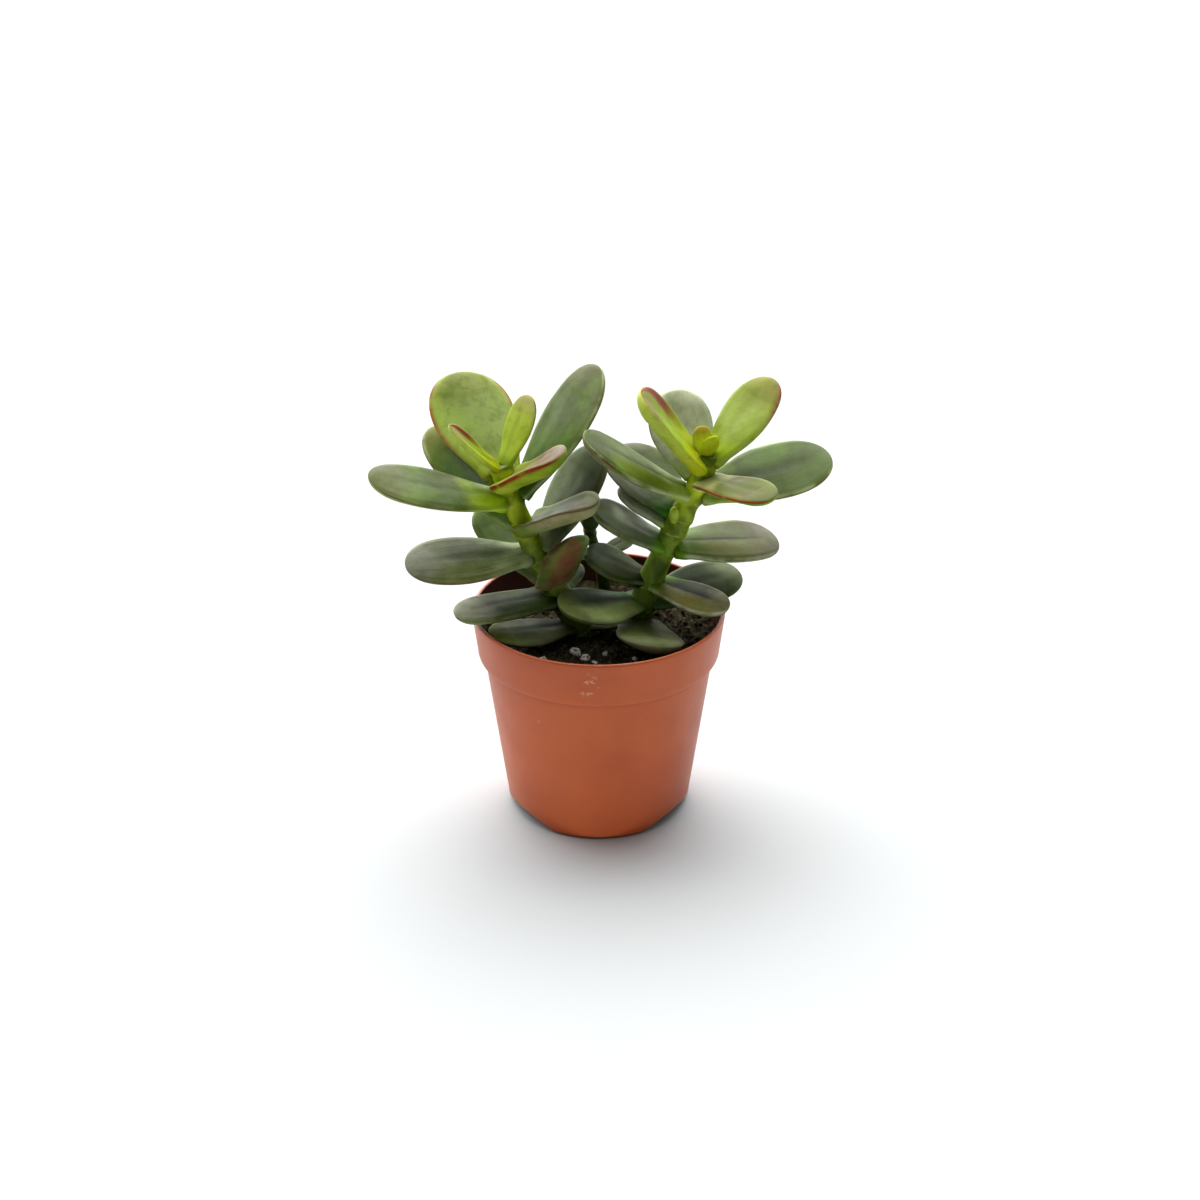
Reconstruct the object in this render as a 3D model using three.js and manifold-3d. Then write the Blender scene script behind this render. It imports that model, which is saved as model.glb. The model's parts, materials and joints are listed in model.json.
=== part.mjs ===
// A young jade plant in a small plastic nursery pot: two fleshy shoots stand side by side in peat,
// each with its leaves in opposite pairs, every pair turned about a quarter turn from the one below.
// Millimetres, +Z up. The origin is the middle of the pot's underside, and -Y is the front.

import * as THREE from "three";
import { mergeVertices } from "three/addons/utils/BufferGeometryUtils.js";
import Module from "manifold-3d";

const wasm = await Module();
wasm.setup();

// ---------------------------------------------------------------- driving dimensions

const GAP = 0.3; // clearance between pieces that rest in or on each other

const POT = {
  height: 47,
  rimRadius: 27.5,
  rimBand: 1.5, // the topmost part of the collar, which stands almost upright
  rimLean: 0.1, // how much wider that band is at its top
  collarHeight: 10.6, // the wide band below the rim
  collarFootRadius: 26.3,
  ledge: 0.5, // rise of the collar's foot as it steps out from the body
  shoulderRadius: 25, // the body, straight under the collar
  baseRadius: 19.8,
  cornerRadius: 0.8, // between the body and the underside
  cornerSteps: 3,
  cornerTurn: 81, // degrees from the underside to the tapered body
  wall: 0.9,
  floor: 1.5,
  innerCorner: 1, // cut across the corner between wall and floor
  sides: 54,
};

// Arched mouths in the corner of the pot's base.
const DRAIN = {
  count: 3,
  firstTurn: 210, // degrees; the three stand at left front, right front and back
  width: 22,
  height: 3.1,
  reach: 4.5, // how far each runs in under the floor
  overshoot: 4, // how far its cutter stands out of the wall
  sides: 40,
};

const SOIL = {
  level: 40.4, // mean height of the peat's surface
  relief: 0.7, // height of its lumps
  corner: 1.2, // cut across the corner between its side and its underside
  rings: 9,
  sides: 36,
};

const STEM = {
  depth: 9, // how far it runs down below the first point of its path
  nodeSwell: 0.35, // how much it thickens at a pair of leaves
  nodeReach: 1.3, // how far up and down that swelling spreads
  footCap: 0.4, // how far its rounded foot and tip stand out of the first and last ring
  tipCap: 1,
  sides: 10,
  steps: 26,
};

const STUB = { radius: 1.1, height: 1.9 };

const LEAF = {
  stations: 9, // cross-sections from base to tip
  crowding: 1.15, // above 1, they stand closer together near the base
  ring: 10, // points round each cross-section
  start: 0.04, // where the blade begins inside the stem, as a share of its length
  widest: 0.62, // where it is widest
  waist: 1.5, // above 1, it stays narrow for longer on the way there
  roundness: 2.3, // above 2, its tip is blunter than an ellipse's
  thickness: 3.4, // of a full-grown leaf at its thickest
  slimness: 0.24, // the most that its thickness is of its width
  endThickness: 0.85, // at its base, as a share of its thickness
  thinFrom: 0.8, // where it starts to thin towards the tip
  tipThinning: 0.94,
  upperShare: 0.4, // the upper face is the flatter one
  edge: 1.25, // above 1, the margin is sharper than an ellipse's
  oldPairs: 4, // the pairs of a shoot that are dark, from the soil up
  youngPairs: 2, // the pairs above them that are bright, from the top down
};
const STRAIGHT = 1e-4; // radians; the curl or cup of a blade that has none

// Loose grains of perlite on the peat: [x, y, radius]. Each sits in a dent of its own.
const GRAINS = [
  [-4.9, -9.6, 1.15],
  [-2.8, -12, 1],
  [1.4, -10.6, 0.6],
  [-11.9, -13, 0.65],
  [-1, -14.4, 0.6],
  [7.7, -13, 0.6],
];
const GRAIN = { rise: 0.35, breadth: 0.85, squash: 0.8 }; // shares of its radius; `rise` is above the peat

const COLOURS = {
  terracotta: 0xb15c3a,
  peat: 0x1f1a16,
  perlite: 0xd9d2c4,
  stem: 0x6f9a2c,
  youngLeaf: 0x9bbb3a,
  leaf: 0x6c8a4c,
  oldLeaf: 0x55694a,
};

// The shoots. `path` is the stem's middle line from the soil up, and each pair of leaves leaves it at
// `height`. A leaf's `turn` is its compass direction in degrees (0 right, 90 back, 180 left, 270 front),
// `rise` its slope at the stem, `bend` how much it curls up on the way to its tip, `roll` its tilt about
// its own length, `cup` the angle at which its margins stand up, and `base` its width at the stem as a
// share of `width`. Two leaves of the right shoot have lost their partners, and `stubs` marks where the
// stump of a dropped leaf still stands out of the stem.
const leaf = (turn, rise, length, width, more = {}) => ({
  turn,
  rise,
  length,
  width,
  bend: 0,
  roll: 0,
  cup: 8,
  base: 0.35,
  ...more,
});

const SHOOTS = [
  {
    name: "left",
    footRadius: 2.9,
    tipRadius: 2.1,
    path: [
      [-3, 0, 40],
      [-7.8, 0, 48],
      [-13.2, 0, 59.4],
      [-16.8, 0, 68],
      [-19.6, 0, 76],
      [-20.8, 0, 80.5],
    ],
    pairs: [
      { height: 42.6, leaves: [leaf(208.6, 1, 22, 11, { bend: 12, roll: -7 }), leaf(5, 2, 10, 7)] },
      {
        height: 49.5,
        leaves: [leaf(205, -0.5, 24.3, 13, { bend: 3, cup: 10, base: 0.7 }), leaf(84, 3, 16, 9)],
      },
      {
        height: 52.5,
        leaves: [leaf(312, 56, 15, 13, { bend: 15, base: 0.75 }), leaf(139, 26, 24, 15, { bend: 10 })],
      },
      {
        height: 59.7,
        leaves: [leaf(198, 2, 29, 16.5, { roll: -12 }), leaf(31, 51.5, 26.6, 16.4, { bend: 4 })],
      },
      {
        height: 65.8,
        leaves: [
          leaf(322, 28, 22.2, 13, { bend: 2, roll: 6, cup: 42, base: 0.8 }),
          leaf(144, 27, 30.4, 17, { bend: 15 }),
        ],
      },
      {
        height: 72.3,
        leaves: [
          leaf(197, 12, 32.5, 16, { bend: 10, roll: -10, base: 0.4 }),
          leaf(28, 45, 34, 17.5, { bend: 15 }),
        ],
      },
      {
        height: 76.3,
        leaves: [
          leaf(314, 28, 20.8, 13, { bend: 12, roll: 12, cup: 38, base: 0.8 }),
          leaf(120, 30, 28.5, 19.5, { bend: 15, base: 0.4 }),
        ],
      },
      {
        height: 79.3,
        leaves: [
          leaf(213, 38, 18.8, 6.4, { bend: 16, roll: -25, cup: 45, base: 0.4 }),
          leaf(40, 58, 17, 8.5, { bend: 10 }),
        ],
      },
    ],
  },
  {
    name: "right",
    footRadius: 3,
    tipRadius: 2.2,
    path: [
      [8.4, 0, 40],
      [9.6, 0, 48],
      [12.7, 0, 57],
      [17.7, 0, 69],
      [21.4, 0, 77],
      [23, 0, 83],
    ],
    pairs: [
      {
        height: 43.5,
        leaves: [
          leaf(281, 2, 18.4, 14.6, { bend: 13, roll: -10, cup: 4, base: 0.6 }),
          leaf(85, 4, 13, 10),
        ],
      },
      {
        height: 48,
        leaves: [leaf(210, 7, 20.5, 15, { bend: 5, roll: -8 }), leaf(20, 8, 23, 14, { roll: 12 })],
      },
      {
        height: 53,
        leaves: [
          leaf(334, -11, 18.5, 12.5, { bend: 5, base: 0.5 }),
          leaf(165, 17, 15.6, 13, { bend: 10 }),
        ],
      },
      {
        height: 61.6,
        leaves: [
          leaf(191, 30.5, 19.2, 12, { bend: 5, roll: -15, cup: 14, base: 0.5 }),
          leaf(16, -5, 25.5, 15, { roll: 12, base: 0.5 }),
        ],
      },
      { height: 65.8, leaves: [leaf(152, 27, 15, 9)] },
      { height: 69, leaves: [leaf(132, 21, 22, 17, { bend: 10 })] },
      {
        height: 73.5,
        leaves: [
          leaf(200, 30, 30, 14.5, { bend: 10, roll: -14 }),
          leaf(20, 4, 32, 18, { bend: 10, roll: 14 }),
        ],
      },
      {
        height: 77,
        leaves: [
          leaf(314, 6.6, 21.3, 10.4, { roll: 7, cup: 18, base: 0.6 }),
          leaf(120, 35.5, 20.5, 15.5, { bend: 42 }),
        ],
      },
      {
        height: 80.2,
        leaves: [
          leaf(200, 43.3, 24.3, 14.4, { bend: 18, roll: -18, cup: 34, base: 0.62 }),
          leaf(35, 34, 24, 14.5, { bend: 15 }),
        ],
      },
      { height: 82, leaves: [leaf(300, 68, 6.5, 4.5), leaf(120, 68, 7, 5)] },
    ],
    stubs: [{ height: 69.8, turn: 228 }],
  },
  {
    name: "middle",
    footRadius: 1.7,
    tipRadius: 1.1,
    path: [
      [1.5, 14, 40],
      [0.6, 13.5, 49],
      [-1.4, 12.5, 57],
      [-2.2, 12, 60.5],
    ],
    pairs: [
      { height: 52.5, leaves: [leaf(205, 15, 8.5, 5.5), leaf(25, 20, 9, 6)] },
      { height: 59.5, leaves: [leaf(280, 50, 7, 4.5, { cup: 30 }), leaf(100, 50, 7.5, 5, { cup: 30 })] },
    ],
  },
];

// ---------------------------------------------------------------- helpers

const degrees = THREE.MathUtils.degToRad;
const lerp = THREE.MathUtils.lerp;

/** A closed geometry as a solid that can be joined and cut. */
function solidOf(geometry) {
  const bare = geometry.index ? geometry.toNonIndexed() : geometry.clone();
  bare.deleteAttribute("normal");
  bare.deleteAttribute("uv");
  const merged = mergeVertices(bare, 1e-4);
  return new wasm.Manifold(
    new wasm.Mesh({
      numProp: 3,
      vertProperties: merged.attributes.position.array,
      triVerts: new Uint32Array(merged.index.array),
    }),
  );
}

/** The largest body of a solid as a geometry again. */
function geometryOf(solid) {
  const bodies = solid.decompose().sort((a, b) => b.volume() - a.volume());
  const mesh = bodies[0].getMesh();
  const geometry = new THREE.BufferGeometry();
  geometry.setAttribute("position", new THREE.BufferAttribute(mesh.vertProperties, 3));
  geometry.setIndex(new THREE.BufferAttribute(mesh.triVerts, 1));
  geometry.computeVertexNormals();
  return geometry;
}

/** A closed skin through rings of points, from a first pole to a last pole. */
function skinOf(firstPole, rings, lastPole) {
  const sides = rings[0].length;
  const positions = [firstPole, ...rings.flat(), lastPole].flatMap((p) => [p.x, p.y, p.z]);
  const last = rings.length * sides + 1;
  const at = (ring, side) => 1 + ring * sides + (side % sides);
  const faces = [];
  for (let side = 0; side < sides; side++) {
    faces.push(0, at(0, side + 1), at(0, side));
    for (let ring = 0; ring + 1 < rings.length; ring++) {
      faces.push(at(ring, side), at(ring, side + 1), at(ring + 1, side));
      faces.push(at(ring, side + 1), at(ring + 1, side + 1), at(ring + 1, side));
    }
    faces.push(at(rings.length - 1, side), at(rings.length - 1, side + 1), last);
  }
  const geometry = new THREE.BufferGeometry();
  geometry.setAttribute("position", new THREE.Float32BufferAttribute(positions, 3));
  geometry.setIndex(faces);
  geometry.computeVertexNormals();
  return geometry;
}

/** Turns a profile of [radius, height] points about the vertical axis. */
function turned(profile, sides) {
  const points = profile.map(([radius, height]) => new THREE.Vector2(radius, height));
  return new THREE.LatheGeometry(points, sides).rotateX(Math.PI / 2);
}

function meshOf(name, geometry, colour, roughness) {
  const material = new THREE.MeshStandardMaterial({ color: colour, roughness, metalness: 0 });
  const mesh = new THREE.Mesh(geometry, material);
  mesh.name = name;
  return mesh;
}

// ---------------------------------------------------------------- pot

const SHOULDER = POT.height - POT.collarHeight; // where the body ends and the collar's ledge begins
const INNER_RIM_RADIUS = POT.rimRadius - POT.wall - POT.rimLean;

/** The pot's outer radius on its tapered body. */
const bodyRadius = (height) => lerp(POT.baseRadius, POT.shoulderRadius, height / SHOULDER);

/** The pot's inner radius inside its collar. */
function collarBore(height) {
  const foot = SHOULDER + 2 * POT.ledge;
  const top = POT.height - POT.wall / 2;
  return lerp(POT.collarFootRadius - POT.wall, INNER_RIM_RADIUS, (height - foot) / (top - foot));
}

function potGeometry() {
  const { height, wall, floor, innerCorner, ledge, cornerRadius, rimRadius } = POT;
  const lip = wall / 2;
  const profile = [[0, 0]];
  for (let i = 0; i <= POT.cornerSteps; i++) {
    const a = degrees((POT.cornerTurn * i) / POT.cornerSteps - 90);
    profile.push([
      bodyRadius(cornerRadius) - cornerRadius + cornerRadius * Math.cos(a),
      cornerRadius + cornerRadius * Math.sin(a),
    ]);
  }
  profile.push(
    [POT.shoulderRadius, SHOULDER],
    [POT.collarFootRadius, SHOULDER + ledge],
    [rimRadius - POT.rimLean, height - POT.rimBand],
    [rimRadius, height - lip],
    [rimRadius - lip, height],
    [INNER_RIM_RADIUS, height - lip],
    [POT.collarFootRadius - wall, SHOULDER + 2 * ledge],
    [POT.shoulderRadius - wall, SHOULDER - 2 * ledge],
    [bodyRadius(floor + innerCorner) - wall, floor + innerCorner],
    [bodyRadius(floor) - wall - innerCorner, floor],
    [0, floor],
  );
  let pot = solidOf(turned(profile, POT.sides));
  for (let i = 0; i < DRAIN.count; i++) pot = pot.subtract(solidOf(drainGeometry(i)));
  return geometryOf(pot);
}

/** The cutter for one arched drain mouth: a cylinder that lies across the corner of the base. */
function drainGeometry(index) {
  const arch = (DRAIN.width ** 2 / 4 + DRAIN.height ** 2) / (2 * DRAIN.height);
  const inner = POT.baseRadius - DRAIN.reach;
  const length = DRAIN.reach + DRAIN.overshoot;
  return new THREE.CylinderGeometry(arch, arch, length, DRAIN.sides)
    .rotateZ(Math.PI / 2)
    .translate(inner + length / 2, 0, DRAIN.height - arch)
    .rotateZ(degrees(DRAIN.firstTurn + (360 / DRAIN.count) * index));
}

// ---------------------------------------------------------------- stems

/** A stem's middle line, carried down into the soil. */
function stemLine(shoot) {
  const points = shoot.path.map(([x, y, z]) => new THREE.Vector3(x, y, z));
  const foot = points[0].clone();
  foot.z -= STEM.depth;
  return new THREE.CatmullRomCurve3([foot, ...points], false, "centripetal");
}

/** The share of a stem's line at which it reaches a height. */
function shareAt(line, height) {
  let [low, high] = [0, 1];
  for (let i = 0; i < 30; i++) {
    const middle = (low + high) / 2;
    if (line.getPointAt(middle).z < height) low = middle;
    else high = middle;
  }
  return low;
}

/** A stem as a tapering rod that swells a little where each pair of leaves leaves it. */
function stemGeometry(shoot, extra = 0) {
  const line = stemLine(shoot);
  const { steps, sides, nodeSwell, nodeReach } = STEM;
  const frames = line.computeFrenetFrames(steps, false);
  const rings = [];
  for (let i = 0; i <= steps; i++) {
    const share = i / steps;
    const middle = line.getPointAt(share);
    const swell = shoot.pairs.reduce(
      (sum, pair) => sum + Math.exp(-(((middle.z - pair.height) / nodeReach) ** 2)),
      0,
    );
    const radius =
      lerp(shoot.footRadius, shoot.tipRadius, share) + nodeSwell * Math.min(1, swell) + extra;
    rings.push(
      Array.from({ length: sides }, (_, side) => {
        const a = (2 * Math.PI * side) / sides;
        return middle
          .clone()
          .addScaledVector(frames.normals[i], radius * Math.cos(a))
          .addScaledVector(frames.binormals[i], radius * Math.sin(a));
      }),
    );
  }
  const beyond = (share, by) => line.getPointAt(share).addScaledVector(line.getTangentAt(share), by);
  return skinOf(beyond(0, -extra - STEM.footCap), rings, beyond(1, extra + STEM.tipCap));
}

/** A stem with the stumps of its dropped leaves. */
function stemSolid(shoot) {
  const line = stemLine(shoot);
  return (shoot.stubs ?? []).reduce((stem, { height, turn }) => {
    const middle = line.getPointAt(shareAt(line, height));
    const stump = new THREE.IcosahedronGeometry(STUB.radius, 1)
      .scale(1, 1, STUB.height / STUB.radius)
      .translate(
        middle.x + shoot.footRadius * Math.cos(degrees(turn)),
        middle.y + shoot.footRadius * Math.sin(degrees(turn)),
        middle.z,
      );
    return stem.add(solidOf(stump));
  }, solidOf(stemGeometry(shoot)));
}

// ---------------------------------------------------------------- leaves

/** Half the blade's width at a share of its length, as a share of its greatest half width. */
function bladeWidth(share, base) {
  if (share < LEAF.widest) {
    const along = share / LEAF.widest;
    return lerp(base, 1, Math.sin((Math.PI / 2) * along) ** LEAF.waist);
  }
  const along = (share - LEAF.widest) / (1 - LEAF.widest);
  return Math.sqrt(1 - along ** LEAF.roundness);
}

/** The blade's thickness at a share of its length, as a share of its greatest thickness. */
function bladeThickness(share) {
  const { endThickness, thinFrom, tipThinning } = LEAF;
  if (share < thinFrom) return lerp(endThickness, 1, Math.sin(Math.PI * share));
  const along = (share - thinFrom) / (1 - thinFrom);
  return Math.sqrt(1 - tipThinning * along ** 2);
}

/** One fleshy leaf, growing along +X from the stem's middle line, with its upper face to +Z. */
function leafGeometry({ length, width, bend, cup, base }) {
  const { start, stations, ring, upperShare } = LEAF;
  const thickness = Math.min(LEAF.thickness, LEAF.slimness * width);
  const curl = degrees(bend) || STRAIGHT;
  const fold = degrees(cup) || STRAIGHT;
  const arc = length / curl;
  const rimArc = width / 2 / fold;
  const place = (share, across, up) => {
    const turn = across / rimArc;
    const side = (rimArc - up) * Math.sin(turn);
    const height = rimArc - (rimArc - up) * Math.cos(turn);
    const angle = curl * share;
    return new THREE.Vector3(
      arc * Math.sin(angle) - height * Math.sin(angle),
      side,
      arc * (1 - Math.cos(angle)) + height * Math.cos(angle),
    );
  };
  const rings = [];
  for (let i = 0; i < stations; i++) {
    const share = lerp(start, 1, Math.sin((Math.PI / 2) * (i / stations)) ** LEAF.crowding);
    const half = (width / 2) * bladeWidth(share, base);
    const thick = thickness * bladeThickness(share);
    rings.push(
      Array.from({ length: ring }, (_, k) => {
        const a = (2 * Math.PI * k) / ring;
        const bulge = Math.abs(Math.sin(a)) ** LEAF.edge * Math.sign(Math.sin(a));
        const part = bulge > 0 ? upperShare : 1 - upperShare;
        return place(share, half * Math.cos(a), thick * part * bulge);
      }),
    );
  }
  return skinOf(place(start, 0, 0), rings, place(1, 0, 0));
}

/** Leaves darken as they age: the lowest pairs are the oldest. */
function leafColour(shoot, level) {
  if (level < LEAF.oldPairs) return COLOURS.oldLeaf;
  return level < shoot.pairs.length - LEAF.youngPairs ? COLOURS.leaf : COLOURS.youngLeaf;
}

/** The leaves of one shoot, each cut back from its stem and named by its place. */
function leafMeshes(shoot, cutter) {
  const line = stemLine(shoot);
  return shoot.pairs.flatMap((pair, level) =>
    pair.leaves.map((one, side) => {
      const holder = new THREE.Object3D();
      holder.position.copy(line.getPointAt(shareAt(line, pair.height)));
      holder.rotation.set(degrees(one.roll), -degrees(one.rise), degrees(one.turn), "ZYX");
      holder.updateMatrix();
      const stemHere = cutter.clone().applyMatrix4(holder.matrix.clone().invert());
      const cut = solidOf(leafGeometry(one)).subtract(solidOf(stemHere));
      const name = `leaf_${shoot.name}_${level + 1}${"ab"[side]}`;
      const mesh = meshOf(name, geometryOf(cut), leafColour(shoot, level), 0.4);
      mesh.position.copy(holder.position);
      mesh.rotation.copy(holder.rotation);
      return mesh;
    }),
  );
}

// ---------------------------------------------------------------- soil

/** The height of the peat's surface: low lumps that don't repeat. */
function soilHeight(x, y) {
  const lumps =
    Math.sin(0.9 * x + 0.4 * y) * Math.cos(0.7 * y - 0.5 * x) +
    0.6 * Math.sin(1.7 * x - 1.1 * y + 1) +
    0.5 * Math.cos(0.6 * x + 1.9 * y);
  return SOIL.level + (SOIL.relief * lumps) / 2;
}

/** A grain of perlite, grown by `extra` all round. */
function grainGeometry([x, y, radius], extra = 0) {
  const size = radius + extra;
  return new THREE.IcosahedronGeometry(size, 1)
    .scale(1, GRAIN.breadth, GRAIN.squash)
    .rotateZ(x * y)
    .translate(x, y, soilHeight(x, y) + GRAIN.rise * radius);
}

/** The peat: it fills the pot to its wall, with a hole for each stem and a dent for each grain. */
function soilGeometry(stems) {
  const inBody = (height) => bodyRadius(height) - POT.wall - GAP;
  const inCollar = (height) => collarBore(height) - GAP;
  const ringAt = (radius, height) =>
    Array.from({ length: SOIL.sides }, (_, side) => {
      const a = (2 * Math.PI * side) / SOIL.sides;
      const [x, y] = [radius * Math.cos(a), radius * Math.sin(a)];
      return new THREE.Vector3(x, y, height ?? soilHeight(x, y));
    });
  const bottom = POT.floor + GAP;
  const ledgeFoot = SHOULDER - 2 * POT.ledge;
  const ledgeTop = SHOULDER + 2 * POT.ledge + GAP;
  const edge = inCollar(SOIL.level - SOIL.relief);
  const rings = [
    ringAt(inBody(bottom) - SOIL.corner, bottom),
    ringAt(inBody(bottom + SOIL.corner), bottom + SOIL.corner),
    ringAt(inBody(ledgeFoot), ledgeFoot),
    ringAt(inCollar(ledgeTop), ledgeTop),
  ];
  for (let ring = SOIL.rings; ring > 0; ring--) rings.push(ringAt((edge * ring) / SOIL.rings));
  const [foot, crown] = [bottom, soilHeight(0, 0)].map((height) => new THREE.Vector3(0, 0, height));
  let soil = solidOf(skinOf(foot, rings, crown));
  for (const stem of stems) soil = soil.subtract(solidOf(stem));
  for (const grain of GRAINS) soil = soil.subtract(solidOf(grainGeometry(grain, GAP)));
  return geometryOf(soil);
}

// ---------------------------------------------------------------- the plant

const plant = new THREE.Group();
plant.add(meshOf("pot", potGeometry(), COLOURS.terracotta, 0.5));
const cutters = SHOOTS.map((shoot) => stemGeometry(shoot, GAP));
plant.add(meshOf("soil", soilGeometry(cutters), COLOURS.peat, 0.95));
GRAINS.forEach((grain, i) => {
  plant.add(meshOf(`perlite_${i + 1}`, grainGeometry(grain), COLOURS.perlite, 0.9));
});
SHOOTS.forEach((shoot, i) => {
  plant.add(meshOf(`stem_${shoot.name}`, geometryOf(stemSolid(shoot)), COLOURS.stem, 0.5));
  plant.add(...leafMeshes(shoot, cutters[i]));
});

export default plant;
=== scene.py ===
"""A young jade plant in a small nursery pot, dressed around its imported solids.

Sizes are in millimetres in the fields and tables below and become metres where a mesh is written.
+Z is up, the origin is the middle of the pot's underside, and -Y is the front. A compass direction is
0 to the right, 90 back, 180 left and 270 front.
"""

from __future__ import annotations

import json
import logging
import math
import random
from dataclasses import dataclass, field, replace
from enum import Enum
from functools import reduce
from typing import Callable, ClassVar, Sequence, Union

import bpy
import numpy as np
from mathutils import Matrix, Vector, noise


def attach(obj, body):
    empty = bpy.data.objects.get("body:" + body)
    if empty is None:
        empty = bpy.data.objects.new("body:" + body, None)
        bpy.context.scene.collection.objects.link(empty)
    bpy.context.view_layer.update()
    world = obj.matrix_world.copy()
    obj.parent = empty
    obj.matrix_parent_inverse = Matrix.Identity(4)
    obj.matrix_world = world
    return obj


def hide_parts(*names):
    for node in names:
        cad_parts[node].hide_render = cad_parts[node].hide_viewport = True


Piece = bpy.types.Object
Material = bpy.types.Material
Socket = bpy.types.NodeSocket
Feed = Union[Socket, float, tuple, str]  # what goes into a node: an output, a number, a colour or a vector

MM = 0.001
BODY = "root"
LOG = logging.getLogger("jade_plant")

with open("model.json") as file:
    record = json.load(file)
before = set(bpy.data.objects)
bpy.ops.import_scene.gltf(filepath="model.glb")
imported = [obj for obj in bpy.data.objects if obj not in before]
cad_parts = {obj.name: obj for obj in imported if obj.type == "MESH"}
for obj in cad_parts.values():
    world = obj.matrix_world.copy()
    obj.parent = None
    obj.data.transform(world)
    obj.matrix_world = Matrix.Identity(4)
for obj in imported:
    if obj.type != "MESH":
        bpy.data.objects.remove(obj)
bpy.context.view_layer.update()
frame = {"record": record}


# ---------------------------------------------------------------- helpers


def linear(colour: str) -> tuple[float, float, float, float]:
    """Turns a colour written as on a paint chart into the renderer's linear light.

    Args:
        colour: Six hexadecimal digits, red, green and blue.

    Returns:
        Red, green, blue and full cover.
    """
    parts = [int(colour[i : i + 2], 16) / 255 for i in (0, 2, 4)]
    curve = [p / 12.92 if p <= 0.04045 else ((p + 0.055) / 1.055) ** 2.4 for p in parts]
    return (curve[0], curve[1], curve[2], 1.0)


def smoothstep(low: float, high: float, value: np.ndarray) -> np.ndarray:
    """Eases from 0 at low to 1 at high."""
    t = np.clip((value - low) / (high - low), 0, 1)
    return t * t * (3 - 2 * t)


def hump(middle: float, reach: float, value: np.ndarray) -> np.ndarray:
    """A round hump of height 1 about a middle, which fades over a reach."""
    return np.exp(-(((value - middle) / reach) ** 2))


def deselect() -> None:
    """Leaves object mode with nothing selected."""
    if bpy.context.object and bpy.context.object.mode != "OBJECT":
        bpy.ops.object.mode_set(mode="OBJECT")
    bpy.ops.object.select_all(action="DESELECT")


def select_only(piece: Piece) -> None:
    """Makes one piece the only selected one, and the active one.

    Args:
        piece: The piece.
    """
    deselect()
    bpy.context.view_layer.objects.active = piece
    piece.select_set(True)


def take_new(name: str) -> Piece:
    """Names the primitive that was just added and puts its place into its mesh.

    Args:
        name: The piece's name.

    Returns:
        The piece.
    """
    piece = bpy.context.object
    piece.name = name
    piece.data.name = name
    bpy.ops.object.transform_apply(location=True, rotation=True, scale=True)
    return piece


def points_of(piece: Piece) -> np.ndarray:
    """Reads the places of a mesh's vertices.

    Args:
        piece: The piece that has the mesh.

    Returns:
        One row of three numbers for each vertex, in metres.
    """
    flat = np.empty(len(piece.data.vertices) * 3)
    piece.data.vertices.foreach_get("co", flat)
    return flat.reshape(-1, 3)


def move_points(piece: Piece, places: np.ndarray) -> None:
    """Puts a mesh's vertices at new places."""
    piece.data.vertices.foreach_set("co", places.astype(np.float32).ravel())
    piece.data.update()


def keep_attribute(piece: Piece, name: str, rows: np.ndarray) -> None:
    """Stores three numbers for each vertex, which the piece's material reads."""
    layer = piece.data.attributes.new(name, "FLOAT_VECTOR", "POINT")
    layer.data.foreach_set("vector", rows.astype(np.float32).ravel())


def face_outwards(piece: Piece) -> None:
    """Merges doubles and turns every face of a closed shape outwards.

    Args:
        piece: The piece.
    """
    select_only(piece)
    bpy.ops.object.mode_set(mode="EDIT")
    bpy.ops.mesh.select_all(action="SELECT")
    bpy.ops.mesh.remove_doubles(threshold=MM / 1000)
    bpy.ops.mesh.normals_make_consistent(inside=False)
    bpy.ops.object.mode_set(mode="OBJECT")


def smooth(piece: Piece, angle: float = 180.0) -> None:
    """Shades a piece smooth, apart from edges sharper than an angle in degrees."""
    select_only(piece)
    bpy.ops.object.shade_smooth_by_angle(angle=math.radians(angle))


def join(pieces: Sequence[Piece], name: str) -> Piece:
    """Joins pieces into one.

    Args:
        pieces: The pieces. The first one takes up the rest.
        name: The name of the whole.

    Returns:
        The whole.
    """
    deselect()
    for piece in pieces:
        piece.select_set(True)
    whole = pieces[0]
    bpy.context.view_layer.objects.active = whole
    if len(pieces) > 1:
        bpy.ops.object.join()
    whole.name = name
    whole.data.name = name
    return whole


def drawn_out_ball(name: str, segments: int, rings: int) -> tuple[Piece, np.ndarray, np.ndarray]:
    """Adds a ball with its poles along X, the start of a leaf or a stem.

    Args:
        name: The piece's name.
        segments: Faces round its axis.
        rings: Faces from pole to pole.

    Returns:
        The piece, and for each vertex its share of the way from the first pole to the last and its
        angle round the axis, from +Y towards +Z.
    """
    deselect()
    bpy.ops.mesh.primitive_uv_sphere_add(
        segments=segments, ring_count=rings, radius=1, rotation=(0, math.pi / 2, 0)
    )
    piece = take_new(name)
    places = points_of(piece)
    share = np.arccos(np.clip(-places[:, 0], -1, 1)) / math.pi
    return piece, share, np.arctan2(places[:, 2], places[:, 1])


def arc(
    middle: tuple[float, float], radius: float, start: float, sweep: float, steps: int
) -> list[tuple[float, float]]:
    """Points on a round stretch of a turned profile.

    Args:
        middle: Its middle, as distance from the axis and height.
        radius: Its radius.
        start: The angle of its first point, in degrees from outwards towards up.
        sweep: The angle that it covers.
        steps: How many straight lines stand for it.

    Returns:
        The points, both ends among them.
    """
    turns = [math.radians(start + sweep * step / steps) for step in range(steps + 1)]
    return [(middle[0] + radius * math.cos(a), middle[1] + radius * math.sin(a)) for a in turns]


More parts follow.
